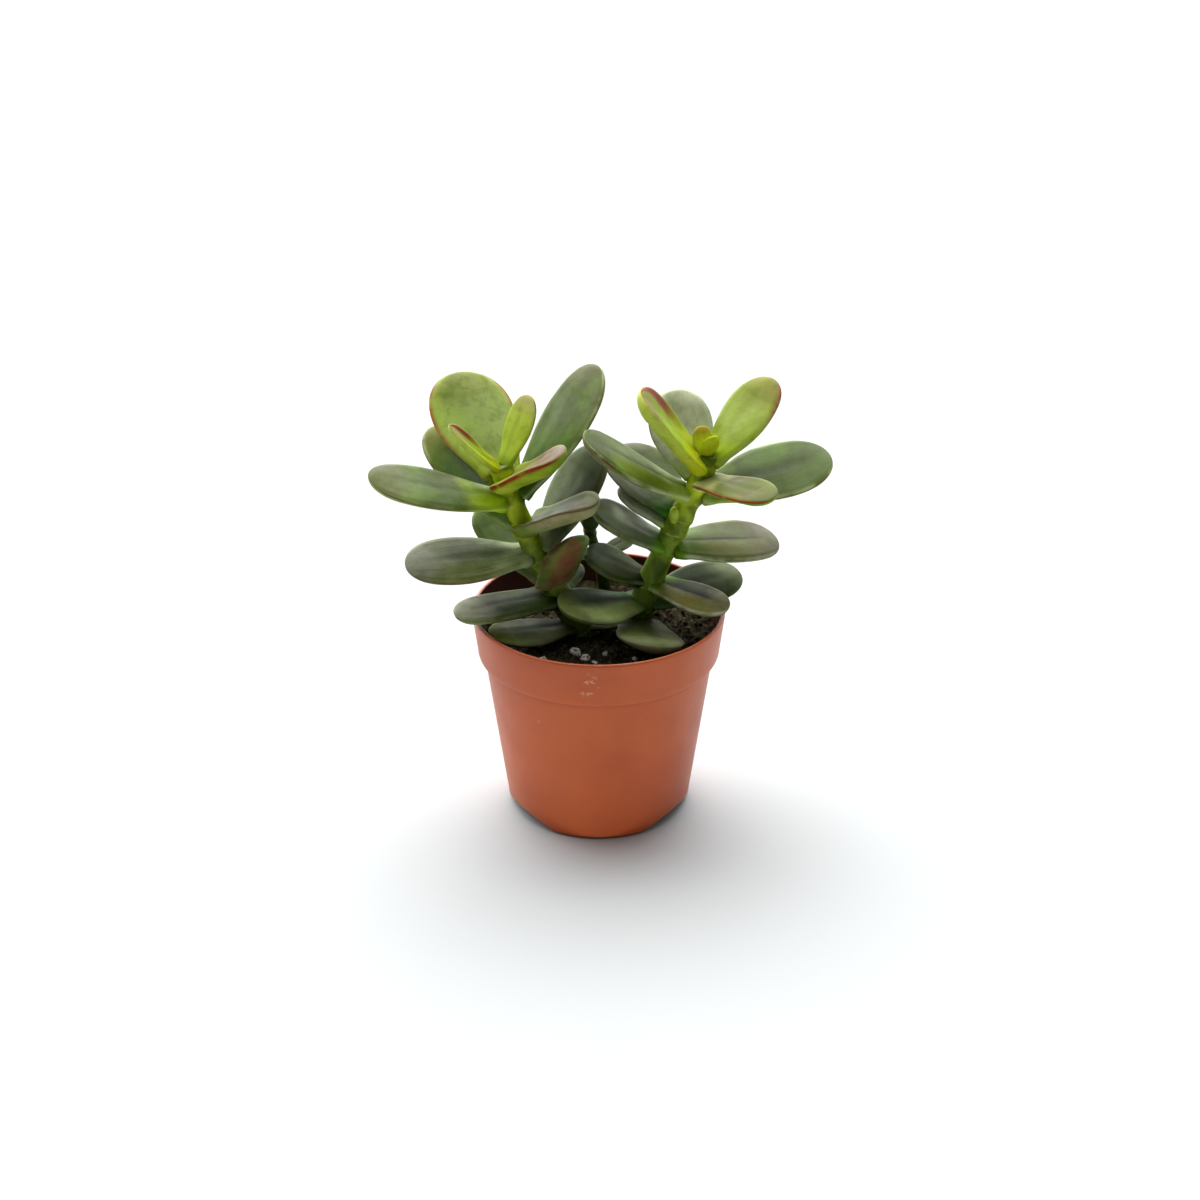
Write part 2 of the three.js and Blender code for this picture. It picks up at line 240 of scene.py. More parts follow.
def raised(name: str, sides: int, profile: Sequence[tuple[float, float]]) -> Piece:
    """Raises a turned solid ring by ring from its underside, as clay on a wheel.

    Args:
        name: The piece's name.
        sides: Faces round its axis.
        profile: Radius and height of each ring in millimetres, from the middle of the underside,
            outwards, and back to the axis. The first and last ring are closed.

    Returns:
        The piece, closed and facing outwards.
    """
    deselect()
    radius, height = profile[0]
    bpy.ops.mesh.primitive_circle_add(vertices=sides, radius=radius * MM, location=(0, 0, height * MM))
    piece = take_new(name)
    bpy.ops.object.mode_set(mode="EDIT")
    bpy.ops.mesh.select_all(action="SELECT")
    bpy.ops.mesh.edge_face_add()
    bpy.ops.mesh.select_mode(type="EDGE")
    for next_radius, next_height in profile[1:]:
        bpy.ops.mesh.extrude_region_move(
            TRANSFORM_OT_translate={"value": (0, 0, (next_height - height) * MM)}
        )
        grow = next_radius / radius
        bpy.ops.transform.resize(value=(grow, grow, 1), center_override=(0, 0, next_height * MM))
        radius, height = next_radius, next_height
    bpy.ops.object.mode_set(mode="OBJECT")
    face_outwards(piece)
    return piece


def deliver(piece: Piece, slot: str, *nodes: str) -> Piece:
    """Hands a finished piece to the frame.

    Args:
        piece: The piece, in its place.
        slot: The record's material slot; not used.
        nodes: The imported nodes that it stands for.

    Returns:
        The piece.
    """
    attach(piece, BODY)
    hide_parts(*nodes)
    LOG.info("%s: %d faces", piece.name, len(piece.data.polygons))
    return piece


# ---------------------------------------------------------------- patterns


@dataclass(frozen=True)
class Patches:
    """A cloudy pattern: its noise, and the two levels of the noise between which it sets in."""

    scale: float  # clouds to a metre
    detail: float
    low: float
    high: float
    roughness: float = 0.5
    distortion: float = 0.0


@dataclass(frozen=True)
class Relief:
    """A fine relief that the light shows: its noise, its depth in millimetres and its strength."""

    scale: float
    detail: float
    depth: float
    strength: float = 1.0
    roughness: float = 0.5


@dataclass(frozen=True)
class Uneven:
    """A roughness that wanders about a level."""

    level: float
    swing: float
    scale: float
    detail: float


class Graph:
    """The nodes of one material, added by short calls."""

    def __init__(self, name: str) -> None:
        """Starts a material with its shader and the object's own coordinates.

        Args:
            name: The material's name.
        """
        self.material = bpy.data.materials.new(name)
        self.material.use_nodes = True
        self.tree = self.material.node_tree
        self.shader = self.tree.nodes["Principled BSDF"]
        self.place = self.node("ShaderNodeTexCoord").outputs["Object"]

    def node(
        self, kind: str, sockets: dict[str | int, Feed] | None = None, **options: str | bool
    ) -> bpy.types.Node:
        """Adds a node.

        Args:
            kind: Its Blender type.
            sockets: What goes into its inputs, a number, a colour or another node's output.
            options: Its settings.

        Returns:
            The node.
        """
        made = self.tree.nodes.new(kind)
        for option, value in options.items():
            setattr(made, option, value)
        for socket, value in (sockets or {}).items():
            self.feed(made.inputs[socket], value)
        return made

    def feed(self, socket: Socket, value: Feed) -> None:
        """Links an output to a socket, or sets the socket.

        Args:
            socket: The socket.
            value: What goes into it.
        """
        if isinstance(value, Socket):
            self.tree.links.new(value, socket)
        else:
            socket.default_value = value

    def attribute(self, name: str) -> Socket:
        """The three numbers that a mesh keeps for each vertex under a name."""
        return self.node("ShaderNodeAttribute", attribute_name=name).outputs["Vector"]

    def split(self, vector: Socket) -> Sequence[Socket]:
        """The three numbers of a vector, one by one."""
        return self.node("ShaderNodeSeparateXYZ", {0: vector}).outputs

    def stretched(self, vector: Socket, scale: tuple[float, float, float]) -> Socket:
        """A vector with each of its numbers scaled."""
        return self.node("ShaderNodeMapping", {"Vector": vector, "Scale": scale}).outputs[0]

    def sum(self, operation: str, *values: Feed, clamp: bool = False) -> Socket:
        """Works out a sum, such as ABSOLUTE or SUBTRACT, of its values."""
        made = self.node("ShaderNodeMath", dict(enumerate(values)), operation=operation, use_clamp=clamp)
        return made.outputs[0]

    def plus(self, *terms: Feed) -> Socket:
        """Adds its terms up."""
        return reduce(lambda one, other: self.sum("ADD", one, other), terms)

    def times(self, *factors: Feed) -> Socket:
        """Multiplies its factors."""
        return reduce(lambda one, other: self.sum("MULTIPLY", one, other), factors)

    def size(self, value: Feed) -> Socket:
        """A value without its sign."""
        return self.sum("ABSOLUTE", value)

    def ease(self, value: Feed, start: float, end: float) -> Socket:
        """Eases from 0 to 1 as a value goes from a start to an end, which may be the lower one.

        Args:
            value: The value.
            start: Where it gives 0.
            end: Where it gives 1.

        Returns:
            The eased share.
        """
        falling = start > end
        sockets = {"Value": value, "From Min": min(start, end), "From Max": max(start, end)}
        sockets |= {"To Min": float(falling), "To Max": float(not falling)}
        return self.node("ShaderNodeMapRange", sockets, interpolation_type="SMOOTHSTEP").outputs[0]

    def mix(self, share: Feed, first: Feed, second: Feed, blend: str = "MIX") -> Socket:
        """Lays one colour over another.

        Args:
            share: How far the second covers the first.
            first: The colour underneath, an output or six hexadecimal digits.
            second: The colour on top.
            blend: How they mix: MIX, MULTIPLY to darken or SCREEN to lighten.

        Returns:
            The mixed colour.
        """
        made = self.node("ShaderNodeMix", data_type="RGBA", blend_type=blend)
        colours = [s for s in made.inputs if s.type == "RGBA"]
        self.feed(made.inputs[0], share)
        self.feed(colours[0], linear(first) if isinstance(first, str) else first)
        self.feed(colours[1], linear(second) if isinstance(second, str) else second)
        return next(s for s in made.outputs if s.type == "RGBA")

    def noise(
        self,
        scale: float,
        detail: float,
        where: Socket | None = None,
        roughness: float = 0.5,
        distortion: float = 0.0,
    ) -> Socket:
        """Cloudy noise between 0 and 1.

        Args:
            scale: Clouds to a metre, or to a unit of the coordinates.
            detail: How many finer layers it has.
            where: Its coordinates, if they aren't the object's.
            roughness: The weight of the finer layers.
            distortion: How far it is stirred.

        Returns:
            The noise.
        """
        sockets = {"Vector": where or self.place, "Scale": scale, "Detail": detail}
        sockets |= {"Roughness": roughness, "Distortion": distortion}
        return self.node("ShaderNodeTexNoise", sockets).outputs[0]

    def patches(self, made: Patches, where: Socket | None = None) -> Socket:
        """A cloudy pattern, 1 in its patches."""
        cloudy = self.noise(made.scale, made.detail, where, made.roughness, made.distortion)
        return self.ease(cloudy, made.low, made.high)

    def dots(self, scale: float, outside: float, inside: float) -> Socket:
        """Scattered round dots, 1 inside and 0 outside, by the distance from their middles."""
        cells = self.node("ShaderNodeTexVoronoi", {"Vector": self.place, "Scale": scale})
        return self.ease(cells.outputs["Distance"], outside, inside)

    def uneven(self, made: Uneven) -> Socket:
        """A roughness that wanders about its level."""
        wander = self.times(self.noise(made.scale, made.detail), made.swing)
        return self.plus(wander, made.level - made.swing / 2)

    def relief(self, *layers: Relief) -> Socket:
        """Raises a surface in the shader by fine reliefs, laid one on another.

        Args:
            layers: The reliefs, the lowest one first.

        Returns:
            The raised surface's normal.
        """
        normal = None
        for layer in layers:
            height = self.noise(layer.scale, layer.detail, None, layer.roughness)
            sockets = {"Height": height, "Distance": layer.depth * MM, "Strength": layer.strength}
            if normal is not None:
                sockets["Normal"] = normal
            normal = self.node("ShaderNodeBump", sockets).outputs[0]
        return normal

    def finish(
        self, colour: Feed, roughness: Feed, normal: Socket | None = None, **constants: Feed
    ) -> Material:
        """Feeds the shader and returns the material.

        Args:
            colour: The base colour.
            roughness: The roughness.
            normal: The surface's normal, if it is raised.
            constants: Other sockets of the shader, with underscores for spaces.

        Returns:
            The material.
        """
        self.feed(self.shader.inputs["Base Color"], colour)
        self.feed(self.shader.inputs["Roughness"], roughness)
        if normal is not None:
            self.feed(self.shader.inputs["Normal"], normal)
        for socket, value in constants.items():
            self.shader.inputs[socket.replace("_", " ")].default_value = value
        return self.material


# ---------------------------------------------------------------- finishes


@dataclass(frozen=True)
class Plastic:
    """The pot's thin moulded plastic, satin, with faint mould flow, dust and scuffs."""

    tone: str = "b4521c"
    shade: str = "a54717"
    grit: str = "8f4526"
    scuff: str = "d8a88e"
    shadow: str = "a08c84"  # painted shadow: multiplies the tone under the ledge
    inner_shade: str = "3c120c"  # painted shade on the inner face of the collar
    grit_strength: float = 0.1
    scratch_strength: float = 0.55
    shadow_strength: float = 0.35
    wall_foot: tuple[float, float] = (36.4, 25.85)  # height and radius of the middle of the collar's wall
    wall_lean: float = 0.113
    wall_border: float = 0.15
    inner_shade_from: tuple[float, float] = (1.2, 2.0)  # the painted shade sets in this high above the wall's foot
    inner_shade_to: tuple[float, float] = (47.1, 46.5)  # and ends between these heights
    scuff_place: tuple[float, float, float] = (-2.6, -26.8, 42.0)
    scuff_reach: tuple[float, float] = (3.8, 1.2)
    ledge: tuple[float, float] = (36.3, 34.4)  # painted shadow: the body is a little darker between these heights
    ledge_border: float = 0.25

    FLOW: ClassVar[Patches] = Patches(38, 4, 0.35, 0.68, 0.55)
    GRIT: ClassVar[Patches] = Patches(2600, 2, 0.35, 0.75)
    DUSTY: ClassVar[Patches] = Patches(95, 1, 0.62, 0.7)
    SCRATCHES: ClassVar[Patches] = Patches(520, 3, 0.57, 0.66, distortion=1.2)
    DUST: ClassVar[tuple[float, float, float]] = (210.0, 0.09, 0.04)  # scale, outside and inside
    SATIN: ClassVar[Uneven] = Uneven(0.42, 0.16, 160, 3)
    RIPPLE: ClassVar[Relief] = Relief(420, 2, 0.04, 0.6)
    GRAIN: ClassVar[Relief] = Relief(2600, 2, 0.01, 0.5)

    def material(self) -> Material:
        """Builds the finish.

        Returns:
            The material.
        """
        g = Graph("terracotta_plastic")
        tone = g.mix(g.patches(self.FLOW), self.tone, self.shade)
        tone = g.mix(g.times(g.patches(self.GRIT), self.grit_strength), tone, self.grit)
        tone = g.mix(self.worn(g), tone, self.scuff)
        tone = g.mix(g.times(self.under_ledge(g), self.shadow_strength), tone, self.shadow, "MULTIPLY")
        # painted shade: darkens the inner face of the collar
        tone = g.mix(self.inside(g), tone, self.inner_shade)
        return g.finish(
            tone,
            g.uneven(self.SATIN),
            g.relief(self.RIPPLE, self.GRAIN),
            Subsurface_Weight=0.06,
            Subsurface_Scale=0.002,
            Specular_IOR_Level=0.4,
        )

    def worn(self, g: Graph) -> Socket:
        """1 on the specks of dust and in the scratches.

        Args:
            g: The material's nodes.

        Returns:
            The share of the scuffs' colour.
        """
        specks = g.times(g.dots(*self.DUST), g.patches(self.DUSTY))
        middle = tuple(c * MM for c in self.scuff_place)
        away = g.node("ShaderNodeVectorMath", {0: g.place, 1: middle}, operation="DISTANCE").outputs["Value"]
        outer, inner = self.scuff_reach
        scratches = g.times(g.patches(self.SCRATCHES), g.ease(away, outer * MM, inner * MM))
        return g.sum("MAXIMUM", specks, g.times(scratches, self.scratch_strength))

    def under_ledge(self, g: Graph) -> Socket:
        """1 on the body just below the collar's ledge.

        Args:
            g: The material's nodes.

        Returns:
            The share of the painted shadow.
        """
        height = g.split(g.place)[2]
        top, bottom = self.ledge
        below = g.ease(height, (top + self.ledge_border) * MM, top * MM)
        return g.times(g.ease(height, bottom * MM, top * MM), below)

    def inside(self, g: Graph) -> Socket:
        """1 on the inner face of the collar, where shade is painted on the plastic.

        Args:
            g: The material's nodes.

        Returns:
            The share of the painted shade.
        """
        x, y, z = g.split(g.place)
        radius = g.sum("SQRT", g.plus(g.times(x, x), g.times(y, y)))
        foot, middle = self.wall_foot
        wall = g.plus(g.times(z, self.wall_lean), (middle - foot * self.wall_lean) * MM)
        within = g.ease(g.sum("SUBTRACT", radius, wall), self.wall_border * MM, -self.wall_border * MM)
        low = g.ease(z, self.inner_shade_to[0] * MM, self.inner_shade_to[1] * MM)
        high = g.ease(z, (foot + self.inner_shade_from[0]) * MM, (foot + self.inner_shade_from[1]) * MM)
        return g.times(within, g.times(low, high))


@dataclass(frozen=True)
class Peat:
    """Dark, damp peat with paler fibres."""

    tone: str = "2b281c"
    shade: str = "51472f"
    fibre: str = "7a6a48"
    fibre_strength: float = 0.7
    fibre_stretch: tuple[float, float, float] = (1.0, 0.25, 1.0)
    roughness: float = 0.9

    MOTTLE: ClassVar[Patches] = Patches(900, 4, 0.4, 0.7)
    FIBRES: ClassVar[Patches] = Patches(2600, 3, 0.66, 0.74, distortion=0.8)
    LUMPS: ClassVar[Relief] = Relief(1700, 5, 0.5, roughness=0.7)

    def material(self) -> Material:
        """Builds the finish.

        Returns:
            The material.
        """
        g = Graph("damp_peat")
        tone = g.mix(g.patches(self.MOTTLE), self.tone, self.shade)
        fibres = g.patches(self.FIBRES, g.stretched(g.place, self.fibre_stretch))
        tone = g.mix(g.times(fibres, self.fibre_strength), tone, self.fibre)
        return g.finish(tone, self.roughness, g.relief(self.LUMPS), Specular_IOR_Level=0.06)


@dataclass(frozen=True)
class Perlite:
    """Popped volcanic glass: chalky, off-white, darker in the hollows of its relief."""

    tone: str = "fbf8f2"
    # the darker tone, laid where the relief's noise is low, in its hollows
    shade: str = "8a7458"
    roughness: float = 0.85

    PITS: ClassVar[Patches] = Patches(1500, 4, 0.5, 0.36, 0.7)
    CRAGS: ClassVar[Relief] = Relief(1500, 4, 0.2, roughness=0.7)

    def material(self) -> Material:
        """Builds the finish.

        Returns:
            The material.
        """
        g = Graph("perlite")
        tone = g.mix(g.patches(self.PITS), self.tone, self.shade)
        return g.finish(tone, self.roughness, g.relief(self.CRAGS))


GLOSS_TINT = (0.78, 0.86, 0.5, 1.0)  # of the light that a waxy green skin throws back


@dataclass(frozen=True)
class StemSkin:
    """A young fleshy stem: bright and glossy above, darker below, pale where leaves clasp it."""

    top: str = "bccc22"
    middle: str = "7c942a"
    foot: str = "4a5c1c"
    # painted shade: a darker top end, which dulls the light on its cap
    tip: str = "5c6c10"
    ring: str = "93a848"
    scar: str = "8b8a55"
    blotch: str = "5c7038"  # multiplies the tone
    blotch_strength: float = 0.75
    scar_strength: float = 0.25
    scar_stretch: tuple[float, float, float] = (1.0, 1.0, 0.2)

    BLOTCHES: ClassVar[Patches] = Patches(240, 3, 0.45, 0.7)
    SCARS: ClassVar[Patches] = Patches(1500, 2, 0.55, 0.75)
    BROKEN: ClassVar[Patches] = Patches(420, 2, 0.35, 0.6)
    GLOSS: ClassVar[Uneven] = Uneven(0.38, 0.2, 300, 2)
    WAVES: ClassVar[Relief] = Relief(700, 3, 0.12, 0.6)

    def material(self) -> Material:
        """Builds the finish. The attribute `stalk` holds share of height, nearness to a ring, and angle.

        Returns:
            The material.
        """
        g = Graph("green_stem")
        share, ring, _ = g.split(g.attribute("stalk"))
        tone = g.mix(g.ease(share, 0.1, 0.6), self.foot, self.middle)
        tone = g.mix(g.ease(share, 0.55, 0.92), tone, self.top)
        tone = g.mix(g.ease(share, 0.975, 1.0), tone, self.tip)
        blotches = g.times(g.patches(self.BLOTCHES), self.blotch_strength)
        tone = g.mix(blotches, tone, self.blotch, "MULTIPLY")
        scars = g.patches(self.SCARS, g.stretched(g.place, self.scar_stretch))
        tone = g.mix(g.times(scars, self.scar_strength), tone, self.scar)
        tone = g.mix(g.times(g.ease(ring, 0.5, 0.98), g.patches(self.BROKEN)), tone, self.ring)
        return g.finish(
            tone,
            g.uneven(self.GLOSS),
            g.relief(self.WAVES),
            Subsurface_Weight=0.2,
            Subsurface_Scale=0.0015,
            Subsurface_Radius=(0.6, 1.0, 0.25),
            Specular_IOR_Level=0.25,
            Specular_Tint=GLOSS_TINT,
        )


class Side(Enum):
    """A margin of a leaf, seen from the stem with the upper face up, or both."""

    BOTH = 0
    LEFT = 1
    RIGHT = -1


@dataclass(frozen=True)
class Blade:
    """Where a point lies on a leaf, as outputs of its material's nodes."""

    whole: Socket
    along: Socket  # share of the length
    across: Socket  # share of the half width, above 0 on the left
    face: Socket  # from -1 below to 1 above
    on_top: Socket  # 1 on the upper face
    wander: Socket  # keeps the borders of a pattern from running straight


@dataclass(frozen=True)
class LeafSkin:
    """The finish of a leaf: tones from stem to tip and side to side, patterns and painted light and shade.
    """

    name: str
    upper: str
    lower: str
    base: str  # near the stem; on the lowest leaves near black, as painted shade
    half: str = ""  # one half of the upper face in its own tone: partly the leaf's colour, partly painted light and shade on a tilted half
    half_side: Side = Side.LEFT
    half_share: float = 0.9
    tip: str = ""  # the tone near the tip, if it differs
    tip_from: float = 0.62
    keel: str = "7c443a"  # a band along the middle of the lower face
    keel_strength: float = 0.0
    keel_aside: float = 0.0  # how far it lies from the middle
    keel_width: float = 0.45
    margin: str = "6a3524"  # the line that the sun has drawn on the margin
    shade: str = "a3ab8e"  # multiplies the tone in clouds, streaks and freckles
    bloom: str = "3a4426"  # lightens it where the waxy veil lies
    rim: str = "363f1e"  # painted highlight in a pale band inside the margin; also the pale pores
    sap: str = "5f8c1c"  # the vivid green that shines through in places
    veil: float = 0.35
    streaks: float = 0.12
    clouds: float = 0.5
    freckles: float = 0.3
    pores: float = 0.3
    windows: float = 0.3  # how much of the vivid green there is
    blush: float = 0.5  # strength of the margin's colour
    blush_from: float = 0.25  # share of the length where it sets in
    blush_side: Side = Side.BOTH
    blush_width: float = 0.3
    blush_drop: float = 0.0  # how far that line lies towards the lower face
    flush: float = 0.0  # how far that colour spreads over the upper face beside the blushed margin
    base_reach: float = 0.36
    rim_highlight_strength: float = 0.5
    rim_highlight_from: float = 0.7  # share of the half width where the painted highlight band begins
    edge: float = 0.3  # painted highlight: the thin pale line on the margin
    edge_highlight_from: float = -0.5  # share of the length where that painted highlight sets in
    edge_highlight_tone: str = "8e9476"
    tip_blush: float = 0.0  # how far the margin's colour floods the upper face at the tip
    # painted shade along the groove in the middle of the upper face
    crease: float = 0.45
    crease_shade_width: float = 0.5
    crease_shade_tone: str = "77795c"  # painted shade: multiplies the tone along the middle groove
    glow: float = 0.12
    sheen: float = 0.14

    WANDER: ClassVar[tuple[float, float, float]] = (120, 2, 0.3)  # scale, detail and reach
    WINDOWS: ClassVar[Patches] = Patches(85, 3, 0.45, 0.68, 0.55, 0.4)
    CLOUDS: ClassVar[Patches] = Patches(110, 4, 0.4, 0.72, 0.55)
    STREAKS: ClassVar[Patches] = Patches(1.7, 2, 0.48, 0.72, distortion=0.5)
    STREAK_STRETCH: ClassVar[tuple[float, float, float]] = (1.6, 7.0, 1.0)
    FRECKLES: ClassVar[Patches] = Patches(420, 4, 0.46, 0.68, 0.6)
    PORES: ClassVar[tuple[float, float, float]] = (1500.0, 0.25, 0.1)  # scale, outside and inside
    VEIL: ClassVar[Patches] = Patches(210, 5, 0.36, 0.66, 0.65, 0.3)
    BROKEN: ClassVar[Patches] = Patches(190, 2, 0.3, 0.6)
    WORN: ClassVar[Patches] = Patches(300, 2, 0.12, 0.5)
    SATIN: ClassVar[Uneven] = Uneven(0.48, 0.18, 260, 3)
    VEIL_ROUGHNESS: ClassVar[float] = 0.3
    WAVES: ClassVar[Relief] = Relief(260, 3, 0.25, 0.5)
    GRAIN: ClassVar[Relief] = Relief(1500, 2, 0.04, 0.6)

    def material(self) -> Material:
        """Builds the finish.

        Returns:
            The material.
        """
        g = Graph(f"leaf_{self.name}")
        blade = self.read(g)
        veil = g.times(g.patches(self.VEIL), blade.on_top, self.veil)
        outwards = g.size(blade.across)
        tone = self.mottle(g, blade, self.ground(g, blade))
        # painted highlight: a pale band inside the margin, on the upper face
        rim_highlight = g.times(g.ease(outwards, self.rim_highlight_from, 0.95), self.rim_highlight_strength)
        tone = g.mix(g.times(rim_highlight, g.ease(blade.face, -0.35, 0.25)), tone, self.rim, "SCREEN")
        tone = g.mix(g.times(veil, g.ease(outwards, 1.0, 0.6)), tone, self.bloom, "SCREEN")
        tone = self.lines(g, blade, tone)
        tone = g.mix(self.blushing(g, blade), tone, self.margin)
        tone = g.mix(g.times(g.dots(*self.PORES), self.pores, blade.on_top), tone, self.rim, "SCREEN")
        rough = g.sum("ADD", g.uneven(self.SATIN), g.times(veil, self.VEIL_ROUGHNESS), clamp=True)
        return g.finish(
            tone,
            rough,
            g.relief(self.WAVES, self.GRAIN),
            Subsurface_Weight=self.glow,
            Subsurface_Scale=0.0016,
            Subsurface_Radius=(0.55, 1.0, 0.2),
            Specular_IOR_Level=self.sheen,
            Specular_Tint=GLOSS_TINT,
        )

    def read(self, g: Graph) -> Blade:
        """Reads the attribute `blade`, which holds share of length, share of half width, and face.

        Args:
            g: The material's nodes.

        Returns:
            Where the point lies.
        """
        whole = g.attribute("blade")
        along, across, face = g.split(whole)
        scale, detail, reach = self.WANDER
        wander = g.times(g.sum("SUBTRACT", g.noise(scale, detail), 0.5), reach)
        return Blade(whole, along, across, face, g.ease(face, -0.1, 0.3), wander)

    def ground(self, g: Graph, blade: Blade) -> Feed:
        """Lays the tones of the two faces, of the half, the tip and the keel, and of the base.

        Args:
            g: The material's nodes.
            blade: Where the point lies.

        Returns:
            The tone.
        """
        upper: Feed = self.upper
        if self.half:
            aside = g.plus(g.times(blade.across, float(self.half_side.value)), blade.wander)
            upper = g.mix(g.times(g.ease(aside, -0.12, 0.4), self.half_share), upper, self.half)
        farther = g.plus(blade.along, blade.wander)
        if self.tip:
            upper = g.mix(g.ease(farther, self.tip_from, self.tip_from + 0.33), upper, self.tip)
        lower: Feed = self.lower
        if self.keel_strength > 0:
            aside = g.plus(g.sum("SUBTRACT", blade.across, self.keel_aside), blade.wander)
            keel = g.ease(g.size(aside), self.keel_width, self.keel_width * 0.3)
            lower = g.mix(g.times(keel, self.keel_strength), lower, self.keel)
        tone = g.mix(blade.on_top, lower, upper)
        return g.mix(g.ease(farther, self.base_reach, 0.06), tone, self.base)

    def mottle(self, g: Graph, blade: Blade, tone: Feed) -> Socket:
        """Adds the vivid windows, clouds, streaks and freckles to a tone.

        Args:
            g: The material's nodes.
            blade: Where the point lies.
            tone: The tone so far.

        Returns:
            The mottled tone.
        """
        tone = g.mix(g.times(g.patches(self.WINDOWS), self.windows), tone, self.sap)
        tone = g.mix(g.times(g.patches(self.CLOUDS), self.clouds), tone, self.shade, "MULTIPLY")
        streaks = g.patches(self.STREAKS, g.stretched(blade.whole, self.STREAK_STRETCH))
        tone = g.mix(g.times(streaks, blade.on_top, self.streaks), tone, self.shade, "MULTIPLY")
        return g.mix(g.times(g.patches(self.FRECKLES), self.freckles), tone, self.shade, "MULTIPLY")

    def lines(self, g: Graph, blade: Blade, tone: Feed) -> Socket:
        """Draws painted shade along the middle crease and a painted highlight, the pale line on the margin.

        Args:
            g: The material's nodes.
            blade: Where the point lies.
            tone: The tone so far.

        Returns:
            The tone with its lines.
        """
        aside = g.size(g.plus(blade.across, g.times(blade.wander, 0.4)))
        crease = g.times(g.ease(aside, self.crease_shade_width, 0.0), g.times(blade.on_top, self.crease))
        fading = g.ease(blade.along, 0.95, 0.6)
        tone = g.mix(g.times(crease, fading), tone, self.crease_shade_tone, "MULTIPLY")
        off_margin = g.size(g.sum("SUBTRACT", blade.face, 0.1))
        thin = g.times(g.ease(off_margin, 0.42, 0.16), self.edge)
        onset = g.ease(blade.along, self.edge_highlight_from, self.edge_highlight_from + 0.3)
        return g.mix(g.times(thin, g.times(g.patches(self.BROKEN), onset)), tone, self.edge_highlight_tone)

    def blushing(self, g: Graph, blade: Blade) -> Socket:
        """Works out where the margin's colour shows, from 0 to 1.

        Args:
            g: The material's nodes.
            blade: Where the point lies.

        Returns:
            The share of the margin's colour.
        """
        off_line = g.size(g.plus(blade.face, self.blush_drop))
        line = g.ease(off_line, self.blush_width, self.blush_width * 0.35)
        onset = g.ease(blade.along, self.blush_from, min(1.0, self.blush_from + 0.35))
        worn = g.patches(self.WORN)
        blush = g.times(g.times(line, onset), g.times(worn, self.blush))
        if self.blush_side is not Side.BOTH:
            aside = g.times(blade.across, float(self.blush_side.value))
            blush = g.times(blush, g.ease(aside, 0.1, 0.5))
            band = g.times(g.ease(aside, 0.25, 0.62), g.ease(aside, 1.0, 0.9), blade.on_top)
            blush = g.sum("MAXIMUM", blush, g.times(band, g.times(onset, self.flush)))
        if self.tip_blush > 0:
            flood = g.times(g.ease(blade.along, 0.62, 1.0), g.times(blade.on_top, self.tip_blush))
            blush = g.sum("MAXIMUM", blush, g.times(flood, worn))
        return blush


YOUNG = LeafSkin(
    "young", upper="acbf3a", lower="98aa2c", base="789303", tip="a7a05f", margin="7e3f26", sap="98b40c",
    veil=0.2, streaks=0.1, clouds=0.25, blush=0.85, blush_from=0.45, blush_side=Side.RIGHT, glow=0.22,
    crease=0.1, rim_highlight_strength=0.3, edge_highlight_tone="a8a060", sheen=0.2,
)  # fmt: skip
BRIGHT = replace(
    YOUNG, name="bright", upper="84952d", tip="75691a", base="a9c409", blush=1.0, blush_width=0.55,
    edge_highlight_tone="b4bc82", sap="7f9c14",
)  # fmt: skip
MOTTLED = replace(
    YOUNG, name="mottled", upper="8fa055", half="859a48", tip="8c944f", base="727d05", veil=0.4,
    clouds=0.45, freckles=0.5, streaks=0.0, windows=0.2, blush=1.0, blush_side=Side.BOTH, blush_from=0.2,
    blush_width=0.5, rim="4a5800", rim_highlight_strength=1.0, rim_highlight_from=0.5, margin="94592f",
)  # fmt: skip
FOLDED = replace(
    YOUNG, name="folded", upper="88a20a", lower="afbc49", base="a6ac14", tip="7d8c2c", tip_from=0.6,
    margin="76320e", tip_blush=0.3, blush=0.0, edge=0.9, edge_highlight_from=0.68, edge_highlight_tone="c0b080", veil=0.0,
    crease=0.0, rim_highlight_strength=0.0, flush=1.0, blush_from=0.32, sheen=0.12, glow=0.12, base_reach=0.6,
)  # fmt: skip
TINY = replace(
    YOUNG, name="tiny", upper="b4c020", lower="b8c018", tip="b6ac30", margin="96702c", tip_blush=0.4,
    blush=0.6, blush_side=Side.BOTH,
)  # fmt: skip
SAGE = LeafSkin(
    "sage", upper="515d29", lower="7c9440", base="c0e20e", tip="4e4a27", half="3a4904",
    half_side=Side.LEFT, base_reach=0.4, clouds=0.7, freckles=0.3,
)  # fmt: skip
# painted light: a pale copy of the sage skin, for a leaf in the shade of others
LIT_SOFT = replace(
    SAGE, name="soft", upper="c6cab2", lower="8fa040", tip="dcdec2", half="", streaks=0.1, glow=0.25,
    veil=0.1, base="b4c870", crease=0.1,
)  # fmt: skip
ROSY = replace(
    SAGE, name="rosy", upper="5f592b", tip="616231", margin="7c3e14", lower="7f9c1c", blush=1.0,
    blush_from=-0.2, half="", blush_side=Side.RIGHT, blush_width=0.5, base="ffffac", edge=0.1, crease=0.1,
)  # fmt: skip
BLUSHED = replace(
    ROSY, name="blushed", upper="7e6754", tip="7c6052", base="afba3a", margin="7a2c0c", lower="8ea020",
    flush=0.2, blush_width=0.42, blush_drop=0.16, base_reach=0.5, veil=0.0, edge=0.0,
)  # fmt: skip
OLIVE = replace(
    SAGE, name="olive", upper="3e3908", tip="483209", lower="85815a", half="", base="6a7624",
    margin="5e3a26", blush=0.8, blush_from=0.0, blush_side=Side.RIGHT, blush_width=0.35, crease=0.1,
)  # fmt: skip
